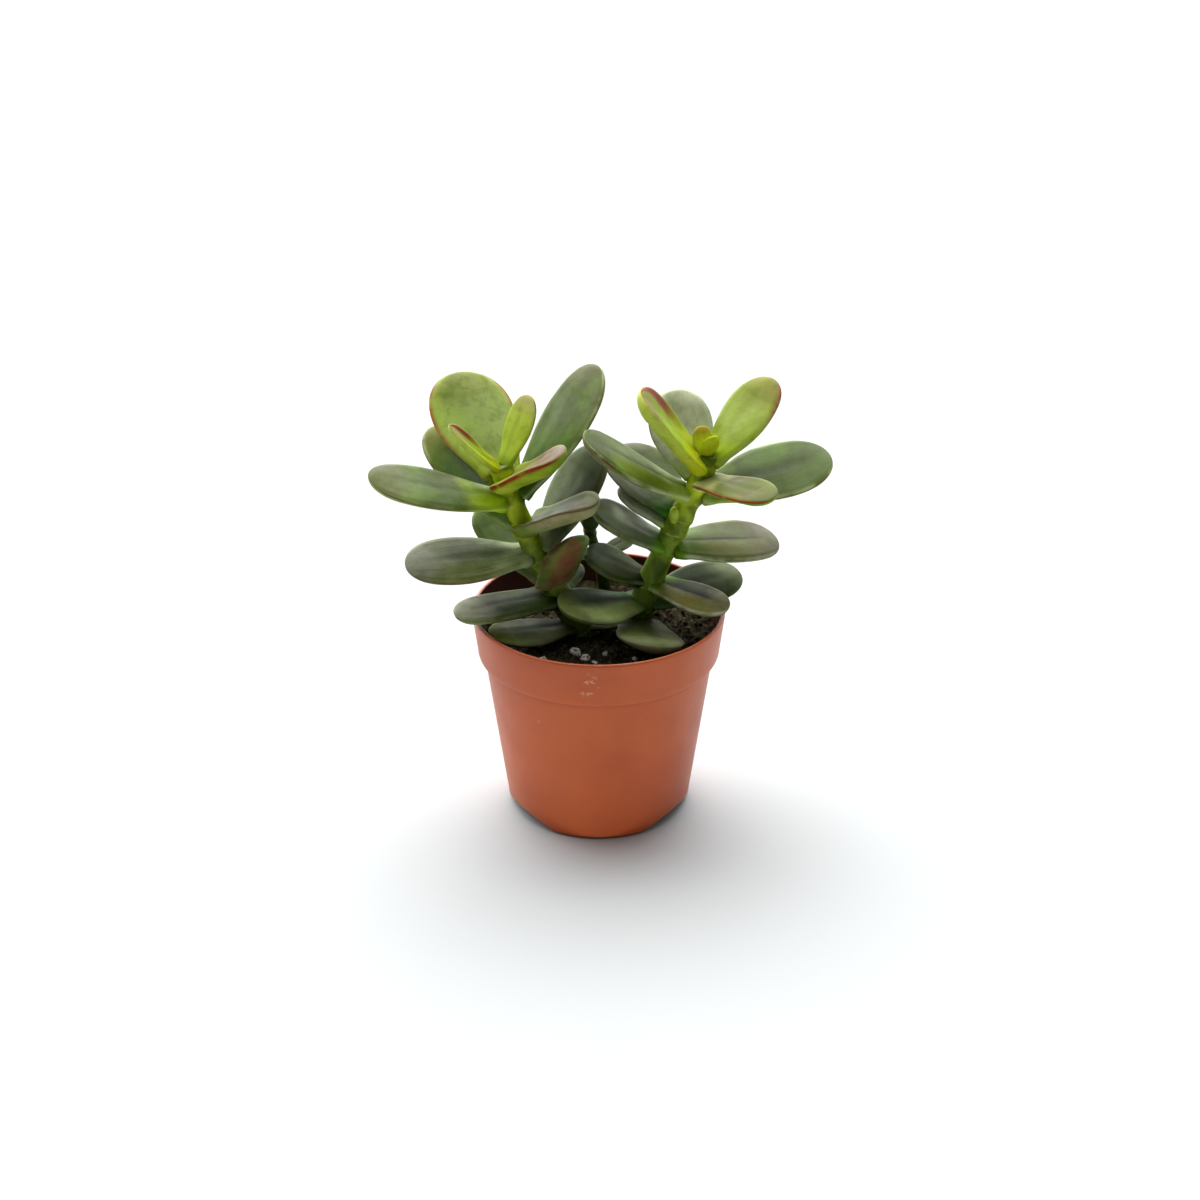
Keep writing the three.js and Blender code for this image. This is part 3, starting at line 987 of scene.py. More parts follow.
GREEN = replace(
    SAGE, name="green", upper="647248", tip="636546", half="47541e", half_side=Side.RIGHT, base="4c5e1c",
    edge=0.8, edge_highlight_tone="a0ac7c", windows=0.45,
)  # fmt: skip
GLINTED = replace(
    GREEN, name="glinted", upper="546225", tip="3c4815", half="63750a", half_side=Side.LEFT, base="97ac44",
    blush_side=Side.LEFT, blush=0.9, blush_from=0.5, margin="4c2418", lower="6e6e4a", crease=0.6,
    crease_shade_width=0.12, windows=0.5,
)  # fmt: skip
FERN = replace(
    GREEN, name="fern", upper="39441e", tip="4b5b2a", half="4e5f2c", base="9cb040", windows=0.2, clouds=0.6,
)  # fmt: skip
FOREST = replace(
    GREEN, name="forest", upper="3c4a1e", tip="7e7d44", half="5c7c2d", half_side=Side.LEFT, base="7a9440",
)  # fmt: skip
DEEP = LeafSkin("deep", upper="576b2e", lower="4f6a2e", base="8a8a58", margin="5f4236", blush=0.35)
SLATE = LeafSkin(
    "slate", upper="72795b", lower="55683a", base="7a8a58", tip="424b2e", half="2a3221",
    half_side=Side.RIGHT, sap="56702a", blush=0.35,
)  # fmt: skip
STEELY = replace(SLATE, name="steely", upper="5d6154", half="3e4922", base="235d03", tip="5b5c49")
STREAKED = replace(
    SLATE, name="streaked", upper="616650", tip="727164", half="767b42", half_side=Side.LEFT, streaks=0.6,
    blush=0.6, base="abb982", crease=0.35, base_reach=0.48, windows=0.5, rim="4a4c1c", sheen=0.12,
    clouds=0.7,
)  # fmt: skip
# painted shade: its base is near black, deep in the shade of the plant
ASHEN = replace(
    SLATE, name="ashen", upper="2d2f1d", tip="989981", half="2a3805", half_side=Side.LEFT, base="030303",
    rim_highlight_strength=0.8, crease=0.5, sheen=0.04,
)  # fmt: skip
CREASED = replace(
    SLATE, name="creased", upper="2b3318", tip="8a7c60", half="88803e", half_side=Side.RIGHT, crease=0.85,
    crease_shade_width=0.16, crease_shade_tone="2c2c18", base="5a8208", edge=0.9, edge_highlight_tone="b4b49a", sheen=0.03,
)  # fmt: skip
RIMMED = replace(
    CREASED, name="rimmed", upper="5a5645", tip="6e625c", half="625d1b", edge=1.0, rim_highlight_from=0.8,
    rim_highlight_strength=1.0, base="5c8404", crease=0.8, crease_shade_tone="7a5a3a", edge_highlight_tone="b0b496",
    crease_shade_width=0.12, base_reach=0.45, sheen=0.14,
)  # fmt: skip
BLOOMED = replace(
    SLATE, name="bloomed", upper="cbd0bc", tip="2e371d", half="203207", half_side=Side.LEFT, base="5d9206",
    edge=0.6, rim_highlight_from=0.8,
)  # fmt: skip
BANDED = replace(
    DEEP, name="banded", upper="162f07", tip="838c53", half="aebd75", half_side=Side.LEFT, base="296404",
    rim_highlight_strength=0.9, edge=0.8, edge_highlight_tone="747c58", sheen=0.03,
)  # fmt: skip
# painted shade: a dark copy of the deep skin, for a leaf in the plant's shade
SHADED_DUSKY = replace(
    DEEP, name="dusky", upper="19250c", base="557b35", veil=0.15, tip="5e6648", sheen=0.04, windows=0.1,
)  # fmt: skip
# painted shade: a dark copy of the deep skin, for a leaf between the stems, with a near-black base
SHADED_SMOKY = replace(
    DEEP, name="smoky", upper="2c3411", base="051003", tip="1d2711", veil=0.1, sheen=0.02, windows=0.1,
)  # fmt: skip
# painted light: a pale copy of the deep skin, for a leaf that lies in shade
LIT_MISTY = replace(DEEP, name="misty", upper="b8bca4", base="94b05c", veil=0.6)
# painted shade: its base is near black, deep in the shade of the plant
LEDGE = replace(
    DEEP, name="ledge", upper="6a7142", lower="9ca06c", base="0a1f05", rim_highlight_strength=0.9, edge=0.6,
    sheen=0.03, tip="8a8d66",
)  # fmt: skip
# painted shade: its base is near black, deep in the shade of the plant
LOWEST = replace(
    DEEP, name="lowest", upper="181c08", half="818060", half_side=Side.LEFT, base="0d140b", edge=0.8,
    edge_highlight_tone="5c6052", rim_highlight_strength=0.8, crease=0.2, tip="8a8848", sheen=0.05,
)  # fmt: skip
MAUVE = replace(
    DEEP, name="mauve", upper="5a3428", lower="6a7a38", margin="4a2c20", blush=0.9, blush_from=0.35,
    blush_side=Side.RIGHT, blush_width=0.8, base="a08c5c", edge=0.3, keel="8a5040", keel_strength=0.95,
    keel_aside=-0.15, keel_width=0.75, base_reach=0.3, sheen=0.1,
)  # fmt: skip
# painted shade: a dark copy for leaves hidden deep in the plant
SHADED = replace(
    DEEP, name="shaded", upper="242e12", lower="3c4d28", base="344618", veil=0.2, sheen=0.04, glow=0.0,
    windows=0.0,
)  # fmt: skip


# ---------------------------------------------------------------- pot


@dataclass
class Pot:
    """The round nursery pot: tapered body, wide collar, rolled rim and arched drain mouths."""

    height: float = 47.0
    rim_radius: float = 27.5
    collar_height: float = 10.6
    collar_foot_radius: float = 26.3
    shoulder_radius: float = 25.0
    base_radius: float = 19.8
    corner_radius: float = 0.8
    wall: float = 0.9
    floor: float = 1.5
    lip: float = 0.45  # radius of the rolled rim
    rim_lean: float = 0.1
    fillet: float = 0.45  # between the ledge and the collar
    fillet_top: float = 0.75  # height above the shoulder where the collar's wall begins
    innermost: float = 2.0  # radius of the rings that close the underside and the floor
    drain_turns: tuple[float, ...] = (210.0, 330.0, 90.0)
    drain_width: float = 22.0
    drain_height: float = 3.1
    drain_reach: float = 4.5
    drain_overhang: float = 4.0  # how far its cutter sticks out of the body
    edge_round: float = 0.15
    edge_angle: float = 50.0  # edges sharper than this are rounded
    sides: int = 144
    finish: Plastic = field(default_factory=Plastic)

    @property
    def shoulder(self) -> float:
        """Height at which the body ends and the collar's ledge begins."""
        return self.height - self.collar_height

    @property
    def bore(self) -> float:
        """Inner radius just below the rim."""
        return self.rim_radius - self.wall - self.rim_lean

    def body_radius(self, height: float) -> float:
        """Outer radius of the tapered body."""
        return self.base_radius + (self.shoulder_radius - self.base_radius) * height / self.shoulder

    def body_rings(self) -> list[tuple[float, float]]:
        """Lists the rings of the underside, its rounded corner and the tapered body.

        Returns:
            The radius and height of each ring.
        """
        corner = self.corner_radius
        rings = [(self.innermost, 0.0), (self.base_radius * 0.6, 0.0), (self.base_radius - 2.2, 0.0)]
        rings += arc((self.body_radius(corner) - corner, corner), corner, -90, 81, 5)
        return rings + [(self.body_radius(h), h) for h in np.linspace(4, self.shoulder - 0.7, 9)]

    def collar_rings(self) -> list[tuple[float, float]]:
        """Lists the rings of the ledge with its fillet, the collar and the rolled rim.

        Returns:
            The radius and height of each ring.
        """
        shoulder, foot_radius, lip = self.shoulder, self.collar_foot_radius, self.lip
        rings = [
            (self.body_radius(shoulder - 0.2), shoulder - 0.2),
            (self.shoulder_radius + 0.25, shoulder + 0.08),
            (foot_radius - self.fillet, shoulder + 0.2),
            (foot_radius - 0.12, shoulder + 0.32),
            (foot_radius + 0.02, shoulder + self.fillet_top),
        ]
        foot, top = shoulder + self.fillet_top, self.height - 1.5
        lean = self.rim_radius - self.rim_lean - foot_radius
        rings += [(foot_radius + lean * s, foot + (top - foot) * s) for s in np.linspace(0.15, 1, 6)]
        return rings + arc((self.rim_radius - lip, self.height - lip), lip, -10, 200, 8)

    def inner_rings(self) -> list[tuple[float, float]]:
        """Lists the rings of the inner face, from the rim down to the middle of the floor.

        Returns:
            The radius and height of each ring.
        """
        wall, floor = self.wall, self.floor
        return [
            (self.bore, self.height - 1.6),
            (self.collar_foot_radius - wall, self.shoulder + 1.0),
            (self.shoulder_radius - wall, self.shoulder - 1.0),
            (self.body_radius(10) - wall, 10.0),
            (self.body_radius(floor + 1) - wall, floor + 1),
            (self.body_radius(floor) - wall - 1, floor),
            (self.base_radius * 0.5, floor),
            (self.innermost, floor),
        ]

    def drain_cutter(self, turn: float) -> Piece:
        """Adds a cylinder that lies across the corner of the base and cuts one arched mouth.

        Args:
            turn: The mouth's compass direction.

        Returns:
            The cylinder.
        """
        arch = (self.drain_width**2 / 4 + self.drain_height**2) / (2 * self.drain_height)
        length = self.drain_reach + self.drain_overhang
        out = self.base_radius - self.drain_reach + length / 2
        angle = math.radians(turn)
        middle = (out * math.cos(angle), out * math.sin(angle), self.drain_height - arch)
        deselect()
        bpy.ops.mesh.primitive_cylinder_add(
            vertices=96,
            radius=arch * MM,
            depth=length * MM,
            location=[c * MM for c in middle],
            rotation=(0, math.pi / 2, angle),
        )
        return take_new("drain_cutter")

    def build(self) -> Piece:
        """Builds and dresses the pot.

        Returns:
            The pot.
        """
        rings = [*self.body_rings(), *self.collar_rings(), *self.inner_rings()]
        pot = raised("pot_moulding", self.sides, rings)
        for turn in self.drain_turns:
            cutter = self.drain_cutter(turn)
            bpy.context.view_layer.objects.active = pot
            cut = pot.modifiers.new("drain", "BOOLEAN")
            cut.object = cutter
            cut.solver = "EXACT"
            bpy.ops.object.modifier_apply(modifier=cut.name)
            bpy.data.objects.remove(cutter)
        soften = pot.modifiers.new("soften", "BEVEL")
        soften.width = self.edge_round * MM
        soften.segments = 2
        soften.limit_method = "ANGLE"
        soften.angle_limit = math.radians(self.edge_angle)
        bpy.ops.object.modifier_apply(modifier=soften.name)
        smooth(pot, 42)
        pot.data.materials.append(self.finish.material())
        return deliver(pot, "pot_plastic", "pot")


# ---------------------------------------------------------------- peat and perlite


@dataclass(frozen=True)
class Crag:
    """Fractal noise that pushes a surface in and out."""

    depth: float  # in the units of the surface
    scale: float
    smoothness: float
    spread: float  # how much finer each layer is than the last
    layers: int

    def push(self, place: Vector) -> float:
        """How far the surface moves at a place."""
        return self.depth * noise.fractal(place, self.smoothness, self.spread, self.layers)


@dataclass(frozen=True)
class Grain:
    """A loose grain of perlite: the middle of its dent, and its radius."""

    x: float
    y: float
    radius: float


@dataclass
class Soil:
    """The peat: a crumbly bed that fills the pot to its wall, with loose grains of perlite on it."""

    pot: Pot
    level: float = 40.4
    relief: float = 0.7
    gap: float = 0.3
    calm: float = 0.4  # width of the band beside the wall where the small lumps are lower
    calm_share: float = 0.35
    crumbs: int = 1500
    crumb_least: float = 0.18
    crumb_range: float = 0.5
    crumb_lift: float = 0.25  # share of its size that a crumb lies above the bed
    fibres: int = 90
    fibre_radius: float = 0.1
    fibre_lift: float = 0.45
    fibre_inset: float = 2.5  # how far the fibres keep from the wall
    moulds: int = 5
    seed: int = 5
    grains: tuple[Grain, ...] = (
        Grain(-4.9, -9.6, 1.15),
        Grain(-2.8, -12.0, 1.0),
        Grain(1.4, -10.6, 0.6),
        Grain(-11.9, -13.0, 0.65),
        Grain(-1.0, -14.4, 0.6),
        Grain(7.7, -13.0, 0.6),
    )
    grain_rise: float = 0.35
    grain_form: tuple[float, float, float] = (0.95, 0.82, 0.78)
    peat: Peat = field(default_factory=Peat)
    perlite: Perlite = field(default_factory=Perlite)

    BED: ClassVar[Crag] = Crag(0.55, 0.9, 0.9, 2.1, 5)
    LUMP: ClassVar[Crag] = Crag(0.35, 1.3, 0.8, 2.2, 4)
    POPPED: ClassVar[Crag] = Crag(0.34, 4.5, 0.8, 2.3, 4)

    def surface(self, x: float, y: float) -> float:
        """Works out the height of the bed's low lumps.

        Args:
            x: A place to the right of the pot's middle.
            y: A place behind it.

        Returns:
            The height there.
        """
        lumps = (
            math.sin(0.9 * x + 0.4 * y) * math.cos(0.7 * y - 0.5 * x)
            + 0.6 * math.sin(1.7 * x - 1.1 * y + 1)
            + 0.5 * math.cos(0.6 * x + 1.9 * y)
        )
        return self.level + self.relief * lumps / 2

    @property
    def edge(self) -> float:
        """Works out how far the bed reaches at its surface.

        Returns:
            Its radius.
        """
        pot = self.pot
        foot, top = pot.shoulder + 1, pot.height - pot.lip
        low = pot.collar_foot_radius - pot.wall
        return low + (pot.bore - low) * (self.level - self.relief - foot) / (top - foot) - self.gap

    def bed(self) -> Piece:
        """Builds the body of the peat, with a rough surface.

        Returns:
            The bed.
        """
        pot = self.pot
        under = self.gap + pot.wall
        rings = [
            (2.0, pot.floor + self.gap),
            (pot.body_radius(2) - under - 1.2, pot.floor + self.gap),
            (pot.body_radius(3) - under, 3.0),
            (pot.body_radius(pot.shoulder - 1) - under, pot.shoulder - 1),
            (pot.collar_foot_radius - under, pot.shoulder + 1.3),
        ]
        rings += [(radius, self.level) for radius in np.linspace(self.edge, 0.3, 70)]
        bed = raised("peat_bed", 160, rings)
        places = points_of(bed) / MM
        for row in places:
            if row[2] > self.level - 0.01:
                rough = self.BED.push(Vector((row[0], row[1], 0)) * self.BED.scale)
                beside_wall = math.hypot(row[0], row[1]) > self.edge - self.calm
                row[2] = self.surface(row[0], row[1]) + rough * (self.calm_share if beside_wall else 1.0)
        move_points(bed, places * MM)
        return bed

    def lump(self, name: str, phase: float, detail: int) -> Piece:
        """Adds an irregular lump of unit size: a ball with its surface pushed in and out.

        Args:
            name: The piece's name.
            phase: Where in the noise it is cut from, so that no two are alike.
            detail: Subdivisions of its ball.

        Returns:
            The lump.
        """
        deselect()
        bpy.ops.mesh.primitive_ico_sphere_add(subdivisions=detail, radius=1)
        lump = take_new(name)
        places = points_of(lump)
        for row in places:
            row *= 1 + self.LUMP.push(Vector(row).normalized() * self.LUMP.scale + Vector((phase, 0, 0)))
        move_points(lump, places)
        return lump

    def laid(self, x: float, y: float, lift: float, turn: Matrix, size: tuple[float, ...]) -> Matrix:
        """Lays a lump of unit size on the bed.

        Args:
            x: Its place to the right.
            y: Its place towards the back.
            lift: How high it lies above the bed.
            turn: Its turn.
            size: Its three half sizes.

        Returns:
            The matrix that takes it there.
        """
        where = Matrix.Translation((x * MM, y * MM, (self.surface(x, y) + lift) * MM))
        return where @ turn @ Matrix.Diagonal((*(s * MM for s in size), 1))

    def crumbs_laid(self, draw: random.Random, moulds: Sequence[Piece]) -> list[tuple[Piece, Matrix]]:
        """Draws the place of every crumb.

        Args:
            draw: The source of chance.
            moulds: The lumps to choose from.

        Returns:
            For each crumb, its mould and where it goes.
        """
        laid = []
        for x, y in [spot(draw, self.edge) for _ in range(self.crumbs)]:
            size = self.crumb_least + self.crumb_range * draw.random() ** 3
            if math.hypot(x, y) > self.edge - size:
                continue
            turn = Matrix.Rotation(draw.uniform(0, math.tau), 4, "Z")
            turn = turn @ Matrix.Rotation(draw.uniform(0, math.pi), 4, "X")
            form = (size, size * draw.uniform(0.5, 1), size * 0.7)
            laid.append((draw.choice(moulds), self.laid(x, y, self.crumb_lift * size, turn, form)))
        return laid

    def fibres_laid(self, draw: random.Random, moulds: Sequence[Piece]) -> list[tuple[Piece, Matrix]]:
        """Draws the place of every fibre.

        Args:
            draw: The source of chance.
            moulds: The lumps to choose from.

        Returns:
            For each fibre, its mould and where it goes.
        """
        laid = []
        for _ in range(self.fibres):
            x, y = spot(draw, self.edge - self.fibre_inset)
            turn = Matrix.Rotation(draw.uniform(0, math.tau), 4, "Z")
            turn = turn @ Matrix.Rotation(draw.uniform(-0.3, 0.3), 4, "Y")
            form = (draw.uniform(0.8, 2.2), self.fibre_radius, self.fibre_radius)
            laid.append((draw.choice(moulds), self.laid(x, y, self.fibre_lift, turn, form)))
        return laid

    def scatter(self) -> Piece:
        """Scatters loose crumbs and fibres, as copies of a few lumps.

        Returns:
            All of them as one piece.
        """
        draw = random.Random(self.seed)
        moulds = [self.lump(f"mould_{i}", draw.uniform(0, 50), 2) for i in range(self.moulds)]
        pieces = []
        for mould, place in self.crumbs_laid(draw, moulds) + self.fibres_laid(draw, moulds):
            mesh = mould.data.copy()
            mesh.transform(place)
            crumb = bpy.data.objects.new("crumb", mesh)
            bpy.context.scene.collection.objects.link(crumb)
            pieces.append(crumb)
        crumbs = join(pieces, "peat_crumbs")
        for mould in moulds:
            bpy.data.objects.remove(mould)
        return crumbs

    def grain(self, index: int) -> Piece:
        """Builds one popped, craggy grain of perlite in its dent.

        Args:
            index: Its place in the list of grains.

        Returns:
            The grain.
        """
        dent = self.grains[index]
        grain = self.lump(f"perlite_grain_{index + 1}", 11.0 * index, 4)
        places = points_of(grain)
        for row in places:
            row *= 1 + self.POPPED.push(Vector(row) * self.POPPED.scale + Vector((0, 7 * index, 0)))
        places *= np.array(self.grain_form) * dent.radius
        places += np.array([dent.x, dent.y, self.surface(dent.x, dent.y) + self.grain_rise * dent.radius])
        move_points(grain, places * MM)
        smooth(grain, 60)
        return grain

    def build(self) -> None:
        """Builds and dresses the bed and its grains."""
        bed = join([self.bed(), self.scatter()], "peat")
        smooth(bed, 50)
        bed.data.materials.append(self.peat.material())
        deliver(bed, "peat", "soil")
        chalk = self.perlite.material()
        for index in range(len(self.grains)):
            grain = self.grain(index)
            grain.data.materials.append(chalk)
            deliver(grain, "perlite", f"perlite_{index + 1}")


def spot(draw: random.Random, reach: float) -> tuple[float, float]:
    """Draws a spot from a round field.

    Args:
        draw: The source of chance.
        reach: The field's radius.

    Returns:
        Its two coordinates.
    """
    radius = reach * math.sqrt(draw.random())
    angle = draw.uniform(0, math.tau)
    return radius * math.cos(angle), radius * math.sin(angle)


# ---------------------------------------------------------------- shoots


@dataclass(frozen=True)
class Leaf:
    """One fleshy leaf."""

    turn: float  # the compass direction that it grows in
    rise: float  # its slope at the stem
    length: float
    width: float
    skin: LeafSkin
    bend: float = 0.0  # how much it curls up on the way to its tip
    roll: float = 0.0  # its tilt about its own length
    cup: float = 8.0  # the angle at which its margins stand up
    base: float = 0.35  # its width at the stem, as a share of its width
    crease: float = 0.1  # depth of the groove along the middle of its upper face

    widest: float = 0.62  # share of the length
    start: float = 0.04  # share of the length where the blade leaves the stem's middle line
    plumpness: float = 0.24  # its thickness as a share of its width
    thickest: float = 3.4
    clasp_reach: float = 1.3  # how far past the stem's surface its foot is wider and thicker
    clasp_flare: float = 0.35
    clasp_share: float = 0.25
    ripple: float = 0.012  # of its outline, as a share of its width
    ridge: float = 0.03  # beside its margin, as a share of its thickness
    swell: float = 0.05  # of its faces, as a share of its thickness
    segments: int = 56
    rings: int = 46

    @property
    def thickness(self) -> float:
        """The blade's greatest thickness."""
        return min(self.thickest, self.plumpness * self.width)

    @property
    def heading(self) -> np.ndarray:
        """Works out the turn that takes it from along X to the way it grows.

        Returns:
            The turn, as three rows of three numbers.
        """
        turn = Matrix.Rotation(math.radians(self.turn), 3, "Z")
        rise = Matrix.Rotation(-math.radians(self.rise), 3, "Y")
        return np.array(turn @ rise @ Matrix.Rotation(math.radians(self.roll), 3, "X"))

    def outline(self, share: np.ndarray) -> np.ndarray:
        """Works out half the blade's width along its length.

        Args:
            share: Shares of the length.

        Returns:
            Shares of its greatest half width.
        """
        inner = np.clip(share / self.widest, 0, 1)
        outer = np.clip((share - self.widest) / (1 - self.widest), 0, 1)
        narrow = self.base + (1 - self.base) * np.sin(math.pi / 2 * inner) ** 1.5
        return np.where(share < self.widest, narrow, np.sqrt(1 - outer**2.3))

    def body(self, share: np.ndarray) -> np.ndarray:
        """The blade's thickness along its length, as a share of its greatest."""
        tip = np.clip((share - 0.8) / 0.2, 0, 1)
        return np.where(share < 0.8, 0.85 + 0.15 * np.sin(math.pi * share), np.sqrt(1 - tip**2.2))

    def groove(self, share: np.ndarray, across: np.ndarray, face: np.ndarray, phase: float) -> np.ndarray:
        """Works out the shallow groove along the middle of the upper face, which fades to its ends.

        Args:
            share: Share of the length.
            across: Share of the half width.
            face: From -1 below to 1 above.
            phase: Sets the groove a little aside.

        Returns:
            The groove's depth.
        """
        along = smoothstep(0.1, 0.25, share) * (1 - smoothstep(0.62, 0.95, share))
        return self.crease * hump(0.05 * math.sin(phase), 0.15, across) * np.clip(face * 3, 0, 1) * along

    def place(self, share: np.ndarray, across: np.ndarray, up: np.ndarray) -> np.ndarray:
        """Lays points of the flat blade on its cupped and curled form.

        Args:
            share: Their share of the length.
            across: How far they lie to the left of the middle.
            up: How far they lie above it.

        Returns:
            Their places, along X from the stem's middle line.
        """
        curl = math.radians(self.bend) or 1e-4
        fold = math.radians(self.cup) or 1e-4
        curl_radius = self.length / curl
        cup_radius = self.width / 2 / fold
        side = (cup_radius - up) * np.sin(across / cup_radius)
        height = cup_radius - (cup_radius - up) * np.cos(across / cup_radius)
        angle = curl * share
        x = curl_radius * np.sin(angle) - height * np.sin(angle)
        z = curl_radius * (1 - np.cos(angle)) + height * np.cos(angle)
        return np.stack([x, side, z], axis=1)

    def build(self, name: str, foot: np.ndarray, stem_radius: float) -> Piece:
        """Builds the blade.

        Args:
            name: The piece's name.
            foot: The point of the stem's middle line that it grows from.
            stem_radius: The stem's radius there.

        Returns:
            The leaf, with the attribute `blade` that its skin reads.
        """
        leaf, u, a = drawn_out_ball(name, self.segments, self.rings)
        phase = random.Random(name).uniform(0, math.tau)
        share = self.start + (1 - self.start) * np.sin(math.pi / 2 * u) ** 1.15
        across, face = np.cos(a), np.sin(a)
        closed = (u > 1e-4).astype(float)  # 0 at the first pole, which keeps the foot shut
        clasp = np.exp(-((np.maximum(share * self.length - stem_radius, 0) / self.clasp_reach) ** 2))
        ripple = 1 + self.ripple * np.sin(9 * share + phase) * np.sign(across)
        half = (self.width / 2 * self.outline(share) * ripple + self.clasp_flare * clasp) * closed
        thick = self.thickness * self.body(share) * closed * (1 + self.clasp_share * clasp)
        bulge = np.abs(face) ** 1.25 * np.sign(face)
        up = thick * np.where(bulge > 0, 0.4, 0.6) * bulge
        up -= self.groove(share, across, face, phase)
        up += self.ridge * thick * hump(0.84, 0.1, np.abs(across)) * np.clip(face * 3, 0, 1)
        up += self.swell * np.sin(7 * share + phase) * np.cos(3.1 * across + 2 * phase) * thick
        world = self.place(share, half * across, up) @ self.heading.T + foot
        move_points(leaf, world * MM)
        keep_attribute(leaf, "blade", np.stack([share, across, face], axis=1))
        smooth(leaf)
        return leaf


@dataclass(frozen=True)
class Pair:
    """The leaves that leave a stem at one height, usually two."""

    height: float
    leaves: tuple[Leaf, ...]


class Path:
    """A smooth line through given points, which bends evenly at each of them."""

    def __init__(self, points: Sequence[Sequence[float]], steps: int = 60) -> None:
        """Samples the line.

        Args:
            points: The points it goes through, in millimetres.
            steps: Samples between two points.
        """
        given = [np.array(p, float) for p in points]
        ends = [2 * given[0] - given[1], *given, 2 * given[-1] - given[-2]]
        samples = [given[0]]
        for p0, p1, p2, p3 in zip(ends, ends[1:], ends[2:], ends[3:]):
            d0, d1, d2 = (math.sqrt(np.linalg.norm(b - a)) for a, b in ((p0, p1), (p1, p2), (p2, p3)))
            leave = ((p1 - p0) / d0 - (p2 - p0) / (d0 + d1) + (p2 - p1) / d1) * d1
            arrive = ((p2 - p1) / d1 - (p3 - p1) / (d1 + d2) + (p3 - p2) / d2) * d1
            for t in np.linspace(0, 1, steps + 1)[1:]:
                samples.append(
                    (2 * t**3 - 3 * t**2 + 1) * p1
                    + (t**3 - 2 * t**2 + t) * leave
                    + (3 * t**2 - 2 * t**3) * p2
                    + (t**3 - t**2) * arrive
                )
        self.samples = np.array(samples)
        lengths = np.linalg.norm(np.diff(self.samples, axis=0), axis=1)
        self.shares = np.concatenate([[0], np.cumsum(lengths)]) / lengths.sum()

    def at(self, share: np.ndarray | float) -> np.ndarray:
        """The point or points at a share of the line's length."""
        return np.stack([np.interp(share, self.shares, self.samples[:, i]) for i in range(3)], axis=-1)

    def share_at(self, height: float) -> float:
        """The share of the line's length at which it reaches a height."""
        return float(np.interp(height, self.samples[:, 2], self.shares))

    def frames(self, share: np.ndarray, step: float = 1e-3) -> tuple[np.ndarray, np.ndarray]:
        """Works out two directions square to the line, which don't turn about it.

        Args:
            share: The shares of the line's length.
            step: How far to each side of a share the line's own direction is measured.

        Returns:
            The two directions at each share.
        """
        ahead = self.at(np.clip(share + step, 0, 1)) - self.at(np.clip(share - step, 0, 1))
        ahead /= np.linalg.norm(ahead, axis=1)[:, None]
        first = np.cross(np.array([0.0, 1.0, 0.0]), ahead)
        first /= np.linalg.norm(first, axis=1)[:, None]
        return first, np.cross(ahead, first)


